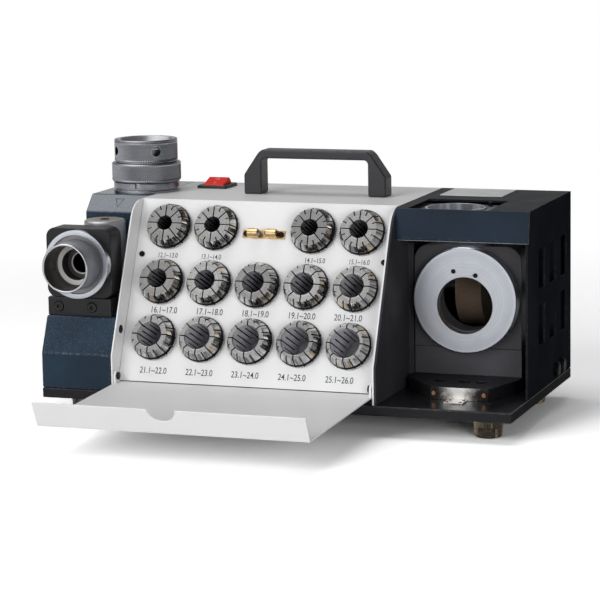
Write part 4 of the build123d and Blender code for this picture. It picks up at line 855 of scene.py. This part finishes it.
class GRINDER_OT_collets(bpy.types.Operator):
    """Fourteen ground spring collets"""

    bl_idname = "grinder.collets"
    bl_label = "Collets"

    def execute(self, context):
        steel = context.scene.grinder_colours.collet
        width = context.scene.grinder_sizes.collet_round
        ground = finish_of(ground_steel, "ground_collet_steel", steel)
        # The cones carry painted reflection streaks and painted glints.
        cone = finish_of(polished_turn_painted_reflections, "collet_cone_painted_reflections", steel, 0.028, 0.34, 0.4)
        # Painted shade: the slot walls and the groove are painted near black.
        slot_shade = finish_of(slot_shade_steel, "slot_and_groove_shade", (0.02, 0.02, 0.022))
        # Painted shade in the bores, deeper in the narrow collets.
        bored = finish_of(
            bore_steel_painted_shade, "collet_bore_painted_shade", (0.045, 0.045, 0.05), (0.68, 0.68, 0.72)
        )
        for size in COLLET_SIZES:
            node = "collet_%d" % size
            centre = mounts[node + "_grip"]
            bm = soften(merged_copy(node, False), width)
            mark_lathe(bm, centre, PANEL_NORMAL, size)
            mark_jaws(bm, centre, PANEL_NORMAL, size)
            face = max(vert.co.dot(PANEL_NORMAL) for vert in bm.verts)
            piece = piece_from(
                "spring_" + node, bm, ground, node + "_body", (node,), TURNED_CRISP
            )
            for finish, part in ((cone, "cone"), (slot_shade, "slot"), (bored, "bore")):
                second_finish(piece, finish, self.test(part, centre, face, size / 2.0 * MM))
        return {"FINISHED"}

    def test(self, part, centre, face, bore):
        """Test for the faces of a collet's cone, of its slots and groove, or of its bore."""
        cone_foot = 7.6 * MM
        groove_top, groove_foot, groove_radius = 7.5 * MM, 11.3 * MM, 20.0 * MM

        def chosen(spot, normal):
            reach = spot - centre
            flat = reach - PANEL_NORMAL * reach.dot(PANEL_NORMAL)
            depth = face - spot.dot(PANEL_NORMAL)
            ahead = normal.dot(PANEL_NORMAL)
            outward = normal.dot(flat.normalized())
            if part == "cone":
                return depth < cone_foot and ahead > 0.3 and outward > 0.6
            if part == "bore":
                return flat.length < bore + 0.1 * MM and abs(ahead) < 0.3 and outward < -0.7
            groove = groove_top < depth < groove_foot and flat.length < groove_radius
            return groove or (abs(ahead) < 0.3 and abs(outward) < 0.5)

        return chosen


class GRINDER_OT_flap(bpy.types.Operator):
    """Front flap with its strike and hinge pins"""

    bl_idname = "grinder.flap"
    bl_label = "Front flap"

    def execute(self, context):
        colours = context.scene.grinder_colours
        edge = context.scene.grinder_sizes.sheet_round
        white = finish_of(powder_coat, "white_powder_coat", colours.white)
        brass = finish_of(plain_metal, "brass", colours.brass, 0.14, 0.14)
        softened_piece("flap_sheet", "flap", edge, white, "flap_body")
        softened_piece("flap_striker", "flap_strike", PLAIN_EDGE, brass, "flap_body")
        softened_piece("hinge_rivets", "hinge_pins", PIN_EDGE, black_oxide())
        return {"FINISHED"}


class GRINDER_OT_catch(bpy.types.Operator):
    """Brass double-ball catch"""

    bl_idname = "grinder.catch"
    bl_label = "Ball catch"

    def execute(self, context):
        brass = finish_of(plain_metal, "brass", context.scene.grinder_colours.brass, 0.14, 0.14)
        width, thick = 8.0 * MM, 1.2 * MM
        balls = (middle("catch_ball_left") + middle("catch_ball_right")) / 2.0
        foot = on_panel(balls)
        low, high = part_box("catch_housing")
        bm = fresh()
        block(bm, (high.x - low.x, width, thick), foot + PANEL_NORMAL * thick / 2.0)
        soften(bm, SMALL_EDGE)
        for side in (-1.0, 1.0):
            self.barrel(bm, balls, side, (balls - foot).length)
        piece_from("catch_barrels", bm, brass, nodes=("catch_housing",), crisp=30.0)
        dress(zinc_steel(), "catch_ball_left", "catch_ball_right")
        return {"FINISHED"}

    def barrel(self, bm, balls, side, stand):
        """One barrel with a bored mouth that holds its ball, on a saddle."""
        mouth_gap, half_length, bore = 3.8 * MM, 5.0 * MM, 3.0 * MM
        saddle_width, saddle_length = 9.6 * MM, 6.4 * MM
        outline = [
            (3.0, 0.0), (3.6, 0.0), (4.0, 0.4), (4.0, 9.5), (3.5, 10.0), (0.6, 10.0), (0.6, 7.0),
            (3.0, 7.0),
        ]
        start = balls + RIGHT * side * mouth_gap
        absorb(bm, mesh_of(spun(outline, start, RIGHT * side, 40), "barrel"))
        spot = start + RIGHT * side * half_length - PANEL_NORMAL * (stand + bore) / 2.0
        block(bm, (saddle_width, saddle_length, stand - bore), spot)


class GRINDER_OT_handle(bpy.types.Operator):
    """Moulded carry handle"""

    bl_idname = "grinder.handle"
    bl_label = "Carry handle"

    def execute(self, context):
        width = context.scene.grinder_sizes.handle_round
        plastic = finish_of(moulded_plastic, "handle_plastic", context.scene.grinder_colours.handle, 0.32)
        softened_piece("handle_moulding", "carry_handle", width, plastic, segments=3)
        return {"FINISHED"}


class GRINDER_OT_switch(bpy.types.Operator):
    """Switch bezel and red rocker with its marks"""

    bl_idname = "grinder.switch"
    bl_label = "Power switch"

    def execute(self, context):
        black = finish_of(moulded_plastic, "bezel_plastic", (0.012, 0.012, 0.013), 0.3)
        red = finish_of(moulded_plastic, "rocker_plastic", context.scene.grinder_colours.rocker, 0.36)
        softened_piece("bezel_moulding", "switch_bezel", PIN_EDGE, black)
        softened_piece("rocker_moulding", "switch_rocker", SOFT_EDGE, red, "rocker_body", 3)
        self.marks()
        return {"FINISHED"}

    def marks(self):
        """Line and ring on the sloping face of the rocker."""
        height, shift = 3.8 * MM, 4.3 * MM
        spot, normal = facet_of("switch_rocker", UP, 35.0)
        bm = bmesh.new()
        for words, side in (("I", -1.0), ("O", 1.0)):
            place = turned_to(normal, spot + normal.cross(RIGHT) * side * shift)
            absorb(bm, lettering(words, height, 1.0, place))
        ink = finish_of(printed_ink, "rocker_ink", (0.75, 0.6, 0.58))
        piece_from("rocker_marks", bm, ink, "rocker_body", weighted=False)


class GRINDER_OT_cabinet(bpy.types.Operator):
    """Right cabinet with header, bare label plate and fittings"""

    bl_idname = "grinder.cabinet"
    bl_label = "Right cabinet"

    def execute(self, context):
        colours = context.scene.grinder_colours
        edge = context.scene.grinder_sizes.sheet_round
        black = finish_of(dark_paint, "cabinet_paint", colours.cabinet, 0.45, 0.001, 0.12)
        # Shaded copy of the cabinet paint, lighter in colour but without sheen, for the faces turned
        # right or forward. It is painted shade that sets these sides' tone.
        dull = finish_of(dark_paint, "cabinet_side_shaded_paint", scaled(colours.cabinet, 1.8), 0.5, 0.001, 0.0)
        # Painted light: the bay's inner wall is a lit, lighter copy of the dark paint.
        inner = finish_of(dark_paint, "inner_wall_lit_paint", colours.inner, 0.5, 0.001, 0.1)
        blue = finish_of(dark_paint, "header_paint", colours.header, 0.34, 0.0012, 0.22)
        film = finish_of(moulded_plastic, "label_film", (0.6, 0.6, 0.6), 0.3)
        shell = softened_piece("cabinet_sheet", "cabinet_shell", edge, black)
        # The right and front faces take the shaded copy of the paint.
        second_finish(shell, dull, lambda spot, normal: normal.x > 0.5 or normal.y < -0.5)
        softened_piece("cabinet_inner", "cabinet_wall", edge, inner)
        header = softened_piece("header_sheet", "header", edge, blue)
        bare_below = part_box("header")[0].z + 0.3 * MM
        second_finish(header, bright_steel(), lambda spot, normal: spot.z < bare_below and normal.y < 0.9)
        softened_piece("label_blank", "label_plate", FINE_EDGE, film)
        softened_piece("wall_fittings", "side_fittings", SMALL_EDGE, black_oxide())
        return {"FINISHED"}


class GRINDER_OT_right_port(bpy.types.Operator):
    """Right port: block, foot, silver ring, polished strip and small screws"""

    bl_idname = "grinder.right_port"
    bl_label = "Right port"

    def execute(self, context):
        colours = context.scene.grinder_colours
        sizes = context.scene.grinder_sizes
        paint = finish_of(dark_paint, "port_paint", colours.port, 0.36, 0.0011, 0.4)
        dark = finish_of(dark_paint, "port_foot_paint", scaled(colours.port, 0.18), 0.34, 0.0011, 0.26)
        silver = finish_of(lathe_steel, "silver_ring", scaled(colours.silver, 1.1), 0.3, 0.0006, 0.05)
        copper = finish_of(plain_metal, "copper_screw", (0.62, 0.3, 0.16), 0.26, 0.14)
        softened_piece("port_block", "right_port_block", sizes.block_round, paint)
        foot = softened_piece("port_foot", "right_port_foot", SOFT_EDGE, paint)
        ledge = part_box("right_port_foot")[0].z + 11.5 * MM
        second_finish(foot, dark, lambda spot, normal: spot.z < ledge)
        turned_piece("silver_ring", "right_port_ring", BACK, FINE_EDGE, silver)
        low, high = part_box("angle_strip")
        reach = (high.x - low.x) / 2.0
        # The strip carries a painted reflection, bright in the middle and dark towards its ends.
        reflecting_strip_finish = finish_of(strip_painted_reflection, "strip_painted_reflection", (0.86, 0.84, 0.8), low.x + reach, reach)
        softened_piece("bowed_strip", "angle_strip", SMALL_EDGE, reflecting_strip_finish)
        softened_piece("bright_plate", "index_plate", FINE_EDGE, bright_steel())
        softened_piece("copper_screws", "strip_screws", FINE_EDGE, copper)
        dress(black_oxide(), "locating_pins", "foot_bolts")
        return {"FINISHED"}


class GRINDER_OT_top_port(bpy.types.Operator):
    """Top port: block and polished bush"""

    bl_idname = "grinder.top_port"
    bl_label = "Top port"

    def execute(self, context):
        colours = context.scene.grinder_colours
        sizes = context.scene.grinder_sizes
        # Painted light: the top block's paint is 2.4 times the port paint, lifting a block that sits in
        # the shade of its opening.
        paint = finish_of(dark_paint, "top_port_lit_paint", scaled(colours.port, 2.4), 0.36, 0.0011, 0.4)
        # The bush carries painted reflection streaks.
        silver = finish_of(
            polished_turn_painted_reflections, "bush_painted_reflections", scaled(colours.silver, 1.2), 0.16, 0.3, 0.0, 0.5
        )
        softened_piece("top_block", "top_port_block", sizes.block_round, paint)
        turned_piece("top_bush", "top_port_bush", UP, sizes.turned_round, silver)
        return {"FINISHED"}


class GRINDER_OT_left_unit(bpy.types.Operator):
    """Blue casting on the left with its setting mark"""

    bl_idname = "grinder.left_unit"
    bl_label = "Left casting"

    def execute(self, context):
        sizes = context.scene.grinder_sizes
        colour = context.scene.grinder_colours.blue
        blue = finish_of(hammer_paint, "blue_hammer_paint", colour, 0.2, 0.0)
        # Lit and shaded copies of the hammer paint: a lighter, glossier copy as painted light and a copy
        # without flecks or sheen as painted shade.
        lit_upper = finish_of(hammer_paint, "glossy_lit_hammer_paint", scaled(colour, 1.2), 0.7, 0.8)
        shaded_lower = finish_of(hammer_paint, "smooth_shaded_hammer_paint", scaled(colour, 1.1), 0.15, 0.0, 0.0)
        bm = soften(merged_copy("left_housing"), sizes.cast_round, 3, 9.0)
        casting = piece_from(
            "blue_casting", bm, blue, nodes=("left_housing",), crisp=SHEET_CRISP
        )
        half_way = middle("left_housing").z
        # Painted light: the upper sloping faces take the lighter copy.
        second_finish(casting, lit_upper, lambda spot, normal: spot.z > half_way and normal.z > 0.2)
        # Painted shade: the lower faces take the copy without flecks or sheen.
        second_finish(casting, shaded_lower, lambda spot, normal: spot.z < half_way and normal.z < 0.02)
        self.mark(sizes)
        return {"FINISHED"}

    def mark(self, sizes):
        """Outlined triangle on the sloping facet, pointing down to the setting edge."""
        spot, normal = facet_of("left_housing", Vector((0.0, -0.7, 0.72)), 8.0)
        half, tall = sizes.mark_width / 2.0, sizes.mark_height / 2.0
        corners = ((-half, tall, 0.0), (0.0, -tall, 0.0), (half, tall, 0.0))
        bm = fresh()
        face = bm.faces.new([bm.verts.new(corner) for corner in corners])
        bm.normal_update()
        bmesh.ops.inset_region(bm, faces=[face], thickness=sizes.mark_line, use_boundary=True)
        bmesh.ops.delete(bm, geom=[face], context="FACES")
        bmesh.ops.transform(bm, matrix=turned_to(normal, spot), verts=bm.verts)
        bmesh.ops.recalc_face_normals(bm, faces=bm.faces)
        ink = finish_of(printed_ink, "mark_ink", (0.002, 0.002, 0.003))
        piece_from("setting_mark", bm, ink, weighted=False)


class GRINDER_OT_left_port(bpy.types.Operator):
    """Left port: bar, block, flange, sleeve, bush, post and screws"""

    bl_idname = "grinder.left_port"
    bl_label = "Left port"

    def execute(self, context):
        colours = context.scene.grinder_colours
        sizes = context.scene.grinder_sizes
        paint = finish_of(dark_paint, "block_black_paint", colours.black, 0.3, 0.001, 0.4)
        steel = finish_of(lathe_steel, "post_side_steel", (0.44, 0.45, 0.48), 0.3, 0.0006, 0.2, 0.8)
        softened_piece("port_bar", "left_port_base", sizes.block_round, paint)
        softened_piece("black_block", "left_port_block", sizes.block_round, paint)
        self.rings(colours, sizes.turned_round, steel)
        self.post(steel)
        self.screws(paint)
        return {"FINISHED"}

    def rings(self, colours, edge, steel):
        """Flange, sleeve, stepped bush, guide tube and lip on the port's axis."""
        silver = finish_of(lathe_steel, "polished_bush", colours.silver, 0.1, 0.0006, 0.05)
        grey = finish_of(lathe_steel, "post_steel", (0.3, 0.3, 0.31), 0.3, 0.0006, 0.2)
        satin = finish_of(lathe_steel, "satin_bush", (0.86, 0.84, 0.8), 0.3, 0.0006, 0.05, 0.3)
        dark = finish_of(lathe_steel, "bored_steel", (0.13, 0.12, 0.12), 0.36, 0.0007, 0.3)
        recess, bore = 26.6 * MM, 20.6 * MM
        step_in, step_out, throat = 10.4 * MM, 14.1 * MM, 9.2 * MM
        centre = middle("left_port_sleeve")
        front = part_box("left_port_sleeve")[0].y
        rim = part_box("left_port_flange")[0].y

        def radius(spot):
            return (spot - centre - BACK * (spot - centre).y).length

        def stepped(spot, normal):
            return radius(spot) < throat or step_in < radius(spot) < step_out

        flange = turned_piece("silver_flange", "left_port_flange", BACK, edge, silver, centre)
        second_finish(flange, grey, lambda spot, normal: radius(spot) < recess and spot.y > rim + MM)
        sleeve = turned_piece("silver_sleeve", "left_port_sleeve", BACK, edge, steel, centre)
        second_finish(sleeve, silver, lambda spot, normal: spot.y < front + 0.9 * MM)
        second_finish(sleeve, dark, lambda spot, normal: radius(spot) < bore and spot.y > front + MM)
        bush = turned_piece("stepped_bush", "left_port_bush", BACK, edge, satin, centre)
        second_finish(bush, dark, stepped)
        block_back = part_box("left_port_block")[1].y
        lip_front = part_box("left_port_bush")[0].y + 12.3 * MM
        self.tube("guide_tube", centre, block_back, 9.9, 48.0, dark, FINE_EDGE)
        self.tube("bush_lip", centre, lip_front, 10.3, 0.7, satin)

    def tube(self, name, centre, front, outer, length, finish, edge=0.0):
        """Thin tube or ring, in millimetres, that the drill passes through."""
        inner = 9.0
        start = Vector((centre.x, front, centre.z))
        outline = [(inner, 0.0), (outer, 0.0), (outer, length), (inner, length)]
        bm = spun(outline, start, BACK, 64)
        if edge:
            soften(bm, edge)
        mark_lathe(bm, start, BACK)
        piece_from(name, bm, finish)

    def post(self, steel):
        """Round post with a stained top."""
        stained = finish_of(lathe_steel, "post_top_steel", (0.47, 0.43, 0.38), 0.3, 0.0006, 0.6, 0.6)
        post = turned_piece("round_post", "left_port_post", UP, PLAIN_EDGE, steel)
        second_finish(post, stained, lambda spot, normal: normal.z > 0.8)

    def screws(self, paint):
        """Socket screws, the head of the one in the post let in almost level."""
        sink = 2.3 * MM
        bm = merged_copy("left_port_screws")
        head_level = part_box("left_port_post")[1].z - 0.5 * MM
        for vert in bm.verts:
            if vert.co.z > head_level:
                vert.co.z -= sink
        soften(bm, SMALL_EDGE)
        nodes = ("left_port_screws",)
        piece_from("socket_screws", bm, paint, nodes=nodes, crisp=SHEET_CRISP)


class GRINDER_OT_chuck(bpy.types.Operator):
    """Setting socket and knurled drill chuck"""

    bl_idname = "grinder.chuck"
    bl_label = "Chuck"

    def execute(self, context):
        sizes = context.scene.grinder_sizes
        bright = finish_of(lathe_steel, "collar_steel", (0.3, 0.31, 0.34), 0.14, 0.0006, 0.02)
        satin = finish_of(lathe_steel, "knurl_steel", (0.66, 0.68, 0.73), 0.2, 0.0006, 0.03)
        band = finish_of(lathe_steel, "band_steel", (0.37, 0.38, 0.41), 0.26, 0.0006, 0.03)
        turned_piece("setting_collar", "setting_socket", UP, sizes.turned_round, bright)
        self.flange(sizes, satin, band)
        self.nut(sizes, satin, band)
        return {"FINISHED"}

    def foot(self, node):
        """Point on the axis at a node's lowest level, and the node's radius in millimetres."""
        low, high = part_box(node)
        spot = Vector(((low.x + high.x) / 2.0, (low.y + high.y) / 2.0, low.z))
        return spot, (high.x - low.x) / 2.0 / MM

    def knurled(self, foot, radius, below, wall, above, rows, steps, depth):
        """Spins an outline in millimetres about the axis and knurls the wall between its two parts."""
        low, high = wall
        side = [(radius, low + (high - low) * row / rows) for row in range(rows + 1)]
        bm = spun(below + side + above, foot, UP, steps)
        knurl(bm, foot, low * MM, high * MM, rows, steps, depth)
        return bm

    def beside(self, foot, wall):
        """Test for the faces below and above a knurled wall."""
        low, high = (foot.z + level * MM for level in wall)
        return lambda spot, normal: not low < spot.z < high

    def flange(self, sizes, satin, band):
        """Chuck body: pilot, nose, knurled flange with wide bevels, and neck."""
        foot, radius = self.foot("chuck_body")
        wall, rows, more_diamonds = (20.0, 34.6), 14, 11
        below = [
            (13.5, 0.0), (15.6, 0.0), (16.0, 0.4), (16.0, 9.0), (23.6, 9.0), (24.0, 9.4), (24.0, 18.5),
            (radius - 1.2, 18.5), (radius - 0.9, 18.6), (radius - 0.2, 19.4), (radius - 0.2, 19.7),
        ]
        above = [
            (radius - 0.2, 34.9), (radius - 0.2, 35.2), (radius - 0.9, 35.9), (radius - 1.2, 36.0),
            (21.5, 36.0), (21.5, 47.9), (20.9, 48.5), (14.1, 48.5), (13.5, 47.9),
        ]
        steps = (sizes.knurl_count + more_diamonds) * 2
        bm = self.knurled(foot, radius, below, wall, above, rows, steps, sizes.knurl_depth)
        mark_lathe(bm, foot, UP)
        body = piece_from("chuck_flange", bm, satin, "chuck", ("chuck_body",), KNURL_CRISP, False)
        second_finish(body, band, self.beside(foot, wall))

    def nut(self, sizes, satin, band):
        """Knurled nut with a flared mouth and four holes for a bar."""
        foot, radius = self.foot("chuck_nut")
        wall, rows = (1.9, 18.3), 15
        below = [
            (21.8, 0.0), (radius - 1.1, 0.0), (radius - 0.8, 0.3), (radius - 0.8, 1.2),
            (radius - 0.25, 1.6),
        ]
        above = [
            (radius - 0.25, 18.7), (radius - 0.5, 18.9), (radius - 0.5, 19.3), (radius - 0.05, 19.6),
            (radius - 0.05, 20.4), (radius - 0.6, 21.0), (26.0, 21.0), (25.5, 20.7), (21.8, 12.5),
        ]
        steps = sizes.knurl_count * 2
        bm = self.knurled(foot, radius, below, wall, above, rows, steps, sizes.knurl_depth)
        level = foot.z + 10.92 * MM
        bm = drilled(bm, self.bar_holes(foot, level, radius, sizes.hole_radius))
        mark_lathe(bm, foot, UP)
        nut = piece_from("knurled_nut", bm, satin, "chuck_cap", ("chuck_nut",), KNURL_CRISP, False)
        mouth_foot, mouth_radius = foot.z + 12.0 * MM, 25.8 * MM
        hole_end, skin, slack = 23.5 * MM, 1.5 * MM, 0.2 * MM

        def reach(spot):
            return (spot - foot).to_2d().length

        def in_hole(spot, normal):
            in_row = abs(spot.z - level) < sizes.hole_radius + slack
            return in_row and hole_end < reach(spot) < radius * MM - skin

        # Painted highlight: the nut's mouth gets a lighter, less metallic copy of the steel.
        mouth = finish_of(lathe_steel, "mouth_highlight_steel", (0.84, 0.85, 0.88), 0.2, 0.0006, 0.05, 0.88)
        second_finish(nut, band, self.beside(foot, wall))
        second_finish(nut, black_oxide(), in_hole)
        second_finish(nut, mouth, lambda spot, normal: spot.z > mouth_foot and reach(spot) < mouth_radius)

    def bar_holes(self, foot, level, radius, bore):
        """Four holes for a bar, each with a countersink."""
        first_turn, depth = -48.0, 13.0 * MM
        sink_radius, sink_depth = bore + 1.5 * MM, 2.2 * MM
        holes = []
        for quarter in range(4):
            turn = radians(quarter * 90.0 + first_turn)
            inward = Vector((-cos(turn), -sin(turn), 0.0))
            mouth = Vector((foot.x, foot.y, level)) - inward * (radius + 0.3) * MM
            holes.append((mouth, inward, bore, bore, depth))
            holes.append((mouth, inward, sink_radius, bore * 0.85, sink_depth))
        return holes


class GRINDER_OT_drive(bpy.types.Operator):
    """Motor, spindle, wheels and their nuts"""

    bl_idname = "grinder.drive"
    bl_label = "Drive"

    def execute(self, context):
        paint = finish_of(dark_paint, "motor_paint", (0.03, 0.032, 0.035), 0.4, 0.002, 0.4)
        abrasive = finish_of(bonded_abrasive, "bonded_abrasive", context.scene.grinder_colours.wheel)
        dress(paint, "motor")
        dress(zinc_steel(), "spindle", "wheel_nuts")
        dress(abrasive, "right_wheel", "left_wheel")
        return {"FINISHED"}


# Stage


class GRINDER_OT_stage(bpy.types.Operator):
    """Plain pale floor, soft studio light and the camera"""

    bl_idname = "grinder.stage"
    bl_label = "Stage"

    def execute(self, context):
        scene = context.scene
        stage = scene.grinder_stage
        aim = Vector(stage.focus)
        scene.view_settings.view_transform = "Standard"
        self.floor()
        self.world(scene, stage)
        self.lamp("key_light", (-0.4, -0.82, 0.41), 3.0, 1.9, stage.key, aim)
        self.lamp("fill_light", (0.62, -0.78, 0.1), 3.0, 1.3, stage.fill, aim)
        self.lamp("top_light", (-0.1, -0.05, 1.0), 2.3, 1.7, stage.top, aim)
        self.camera(scene, stage, aim)
        return {"FINISHED"}

    def floor(self):
        """Pale floor that keeps the shadow near the object and turns white further off."""
        radius, near, far = 9.0, 0.5, 1.2
        bm = bmesh.new()
        bmesh.ops.create_circle(bm, cap_ends=True, segments=96, radius=radius)
        mesh = mesh_of(bm, "floor")
        f = Finish(bpy.data.materials.new("pale_floor"))
        seen = f.ray("Is Camera Ray").larger(f.ray("Is Transmission Ray"))
        shade = seen.colours((0.8, 0.8, 0.8), (1.9, 1.9, 1.9))
        lit = f.node("ShaderNodeBsdfDiffuse", {}, {"Color": shade}, "BSDF")
        white = f.node("ShaderNodeEmission", {}, {"Color": (1.0, 1.0, 1.0)}, "Emission")
        share = f.place().length().between(near, far) * seen.larger(f.ray("Is Glossy Ray") * 0.5)
        mix = f.node("ShaderNodeMixShader", {}, {0: share, 1: lit, 2: white}, "Shader")
        mesh.materials.append(f.close(mix))
        placed("floor", mesh)

    def world(self, scene, stage):
        """White backdrop, with soft boxes around for what metal shows."""
        scene.world = bpy.data.worlds.new("studio")
        f = Finish(scene.world)
        look = f.node("ShaderNodeTexCoord", output="Generated")
        gloom, shade_side = 0.05, 0.25
        boxes = gloom
        for power, way, start, full in SOFT_BOXES:
            boxes = boxes + power * look.along(way).between(start, full)
        lit_side = look.along((-0.45, -0.75, 0.5)).between(-0.6, 0.8)
        even = (shade_side + (1.0 - shade_side) * lit_side) * stage.sky
        strength = f.ray("Is Glossy Ray") * boxes + (1.0 - f.ray("Is Glossy Ray")) * even
        seen = f.ray("Is Camera Ray").larger(f.ray("Is Transmission Ray"))
        shown = seen + (1.0 - seen) * strength
        sockets = {"Color": (1.0, 1.0, 1.0), "Strength": shown}
        f.close(f.node("ShaderNodeBackground", {}, sockets), "ShaderNodeOutputWorld")

    def lamp(self, name, way, distance, size, power, aim):
        """Round soft light on one side of the object."""
        light = bpy.data.lights.new(name, "AREA")
        light.shape = "DISK"
        light.size = size
        light.energy = power
        holder = placed(name, light)
        holder.location = aim + Vector(way).normalized() * distance
        holder.rotation_euler = (aim - holder.location).to_track_quat("-Z", "Y").to_euler()
        holder.visible_glossy = False

    def camera(self, scene, stage, aim):
        """Camera at its angle round the aim, rolled about its own line of sight."""
        az, el, roll = stage.azimuth, stage.elevation, stage.roll
        back = Vector((sin(az) * cos(el), -cos(az) * cos(el), sin(el)))
        right = Vector((cos(az), sin(az), 0.0))
        up = back.cross(right)
        across = right * cos(roll) + up * sin(roll)
        above = up * cos(roll) - right * sin(roll)
        lens = bpy.data.cameras.new("camera")
        lens.sensor_width = 36.0
        lens.lens = stage.lens
        lens.clip_end = 50.0
        holder = placed("camera", lens)
        turn = Matrix((across, above, back)).transposed().to_4x4()
        holder.matrix_world = Matrix.Translation(aim + back * stage.distance) @ turn
        scene.camera = holder


operators = (
    GRINDER_OT_base,
    GRINDER_OT_box,
    GRINDER_OT_collets,
    GRINDER_OT_flap,
    GRINDER_OT_catch,
    GRINDER_OT_handle,
    GRINDER_OT_switch,
    GRINDER_OT_cabinet,
    GRINDER_OT_right_port,
    GRINDER_OT_top_port,
    GRINDER_OT_left_unit,
    GRINDER_OT_left_port,
    GRINDER_OT_chuck,
    GRINDER_OT_drive,
    GRINDER_OT_stage,
)


class GRINDER_PT_panel(bpy.types.Panel):
    """Lists the pieces of the grinder"""

    bl_idname = "GRINDER_PT_panel"
    bl_label = "Grinder"
    bl_space_type = "VIEW_3D"
    bl_region_type = "UI"
    bl_category = "Grinder"

    def draw(self, context):
        for operator in operators:
            self.layout.operator(operator.bl_idname)


settings = (GrinderColours, GrinderSizes, GrinderStage)


def register():
    for one in settings + operators + (GRINDER_PT_panel,):
        bpy.utils.register_class(one)
    bpy.types.Scene.grinder_colours = PointerProperty(type=GrinderColours)
    bpy.types.Scene.grinder_sizes = PointerProperty(type=GrinderSizes)
    bpy.types.Scene.grinder_stage = PointerProperty(type=GrinderStage)


def unregister():
    del bpy.types.Scene.grinder_stage
    del bpy.types.Scene.grinder_sizes
    del bpy.types.Scene.grinder_colours
    for one in reversed(settings + operators + (GRINDER_PT_panel,)):
        bpy.utils.unregister_class(one)


def main():
    register()
    for operator in operators:
        group, name = operator.bl_idname.split(".")
        getattr(getattr(bpy.ops, group), name)()


if __name__ == "__main__":
    main()
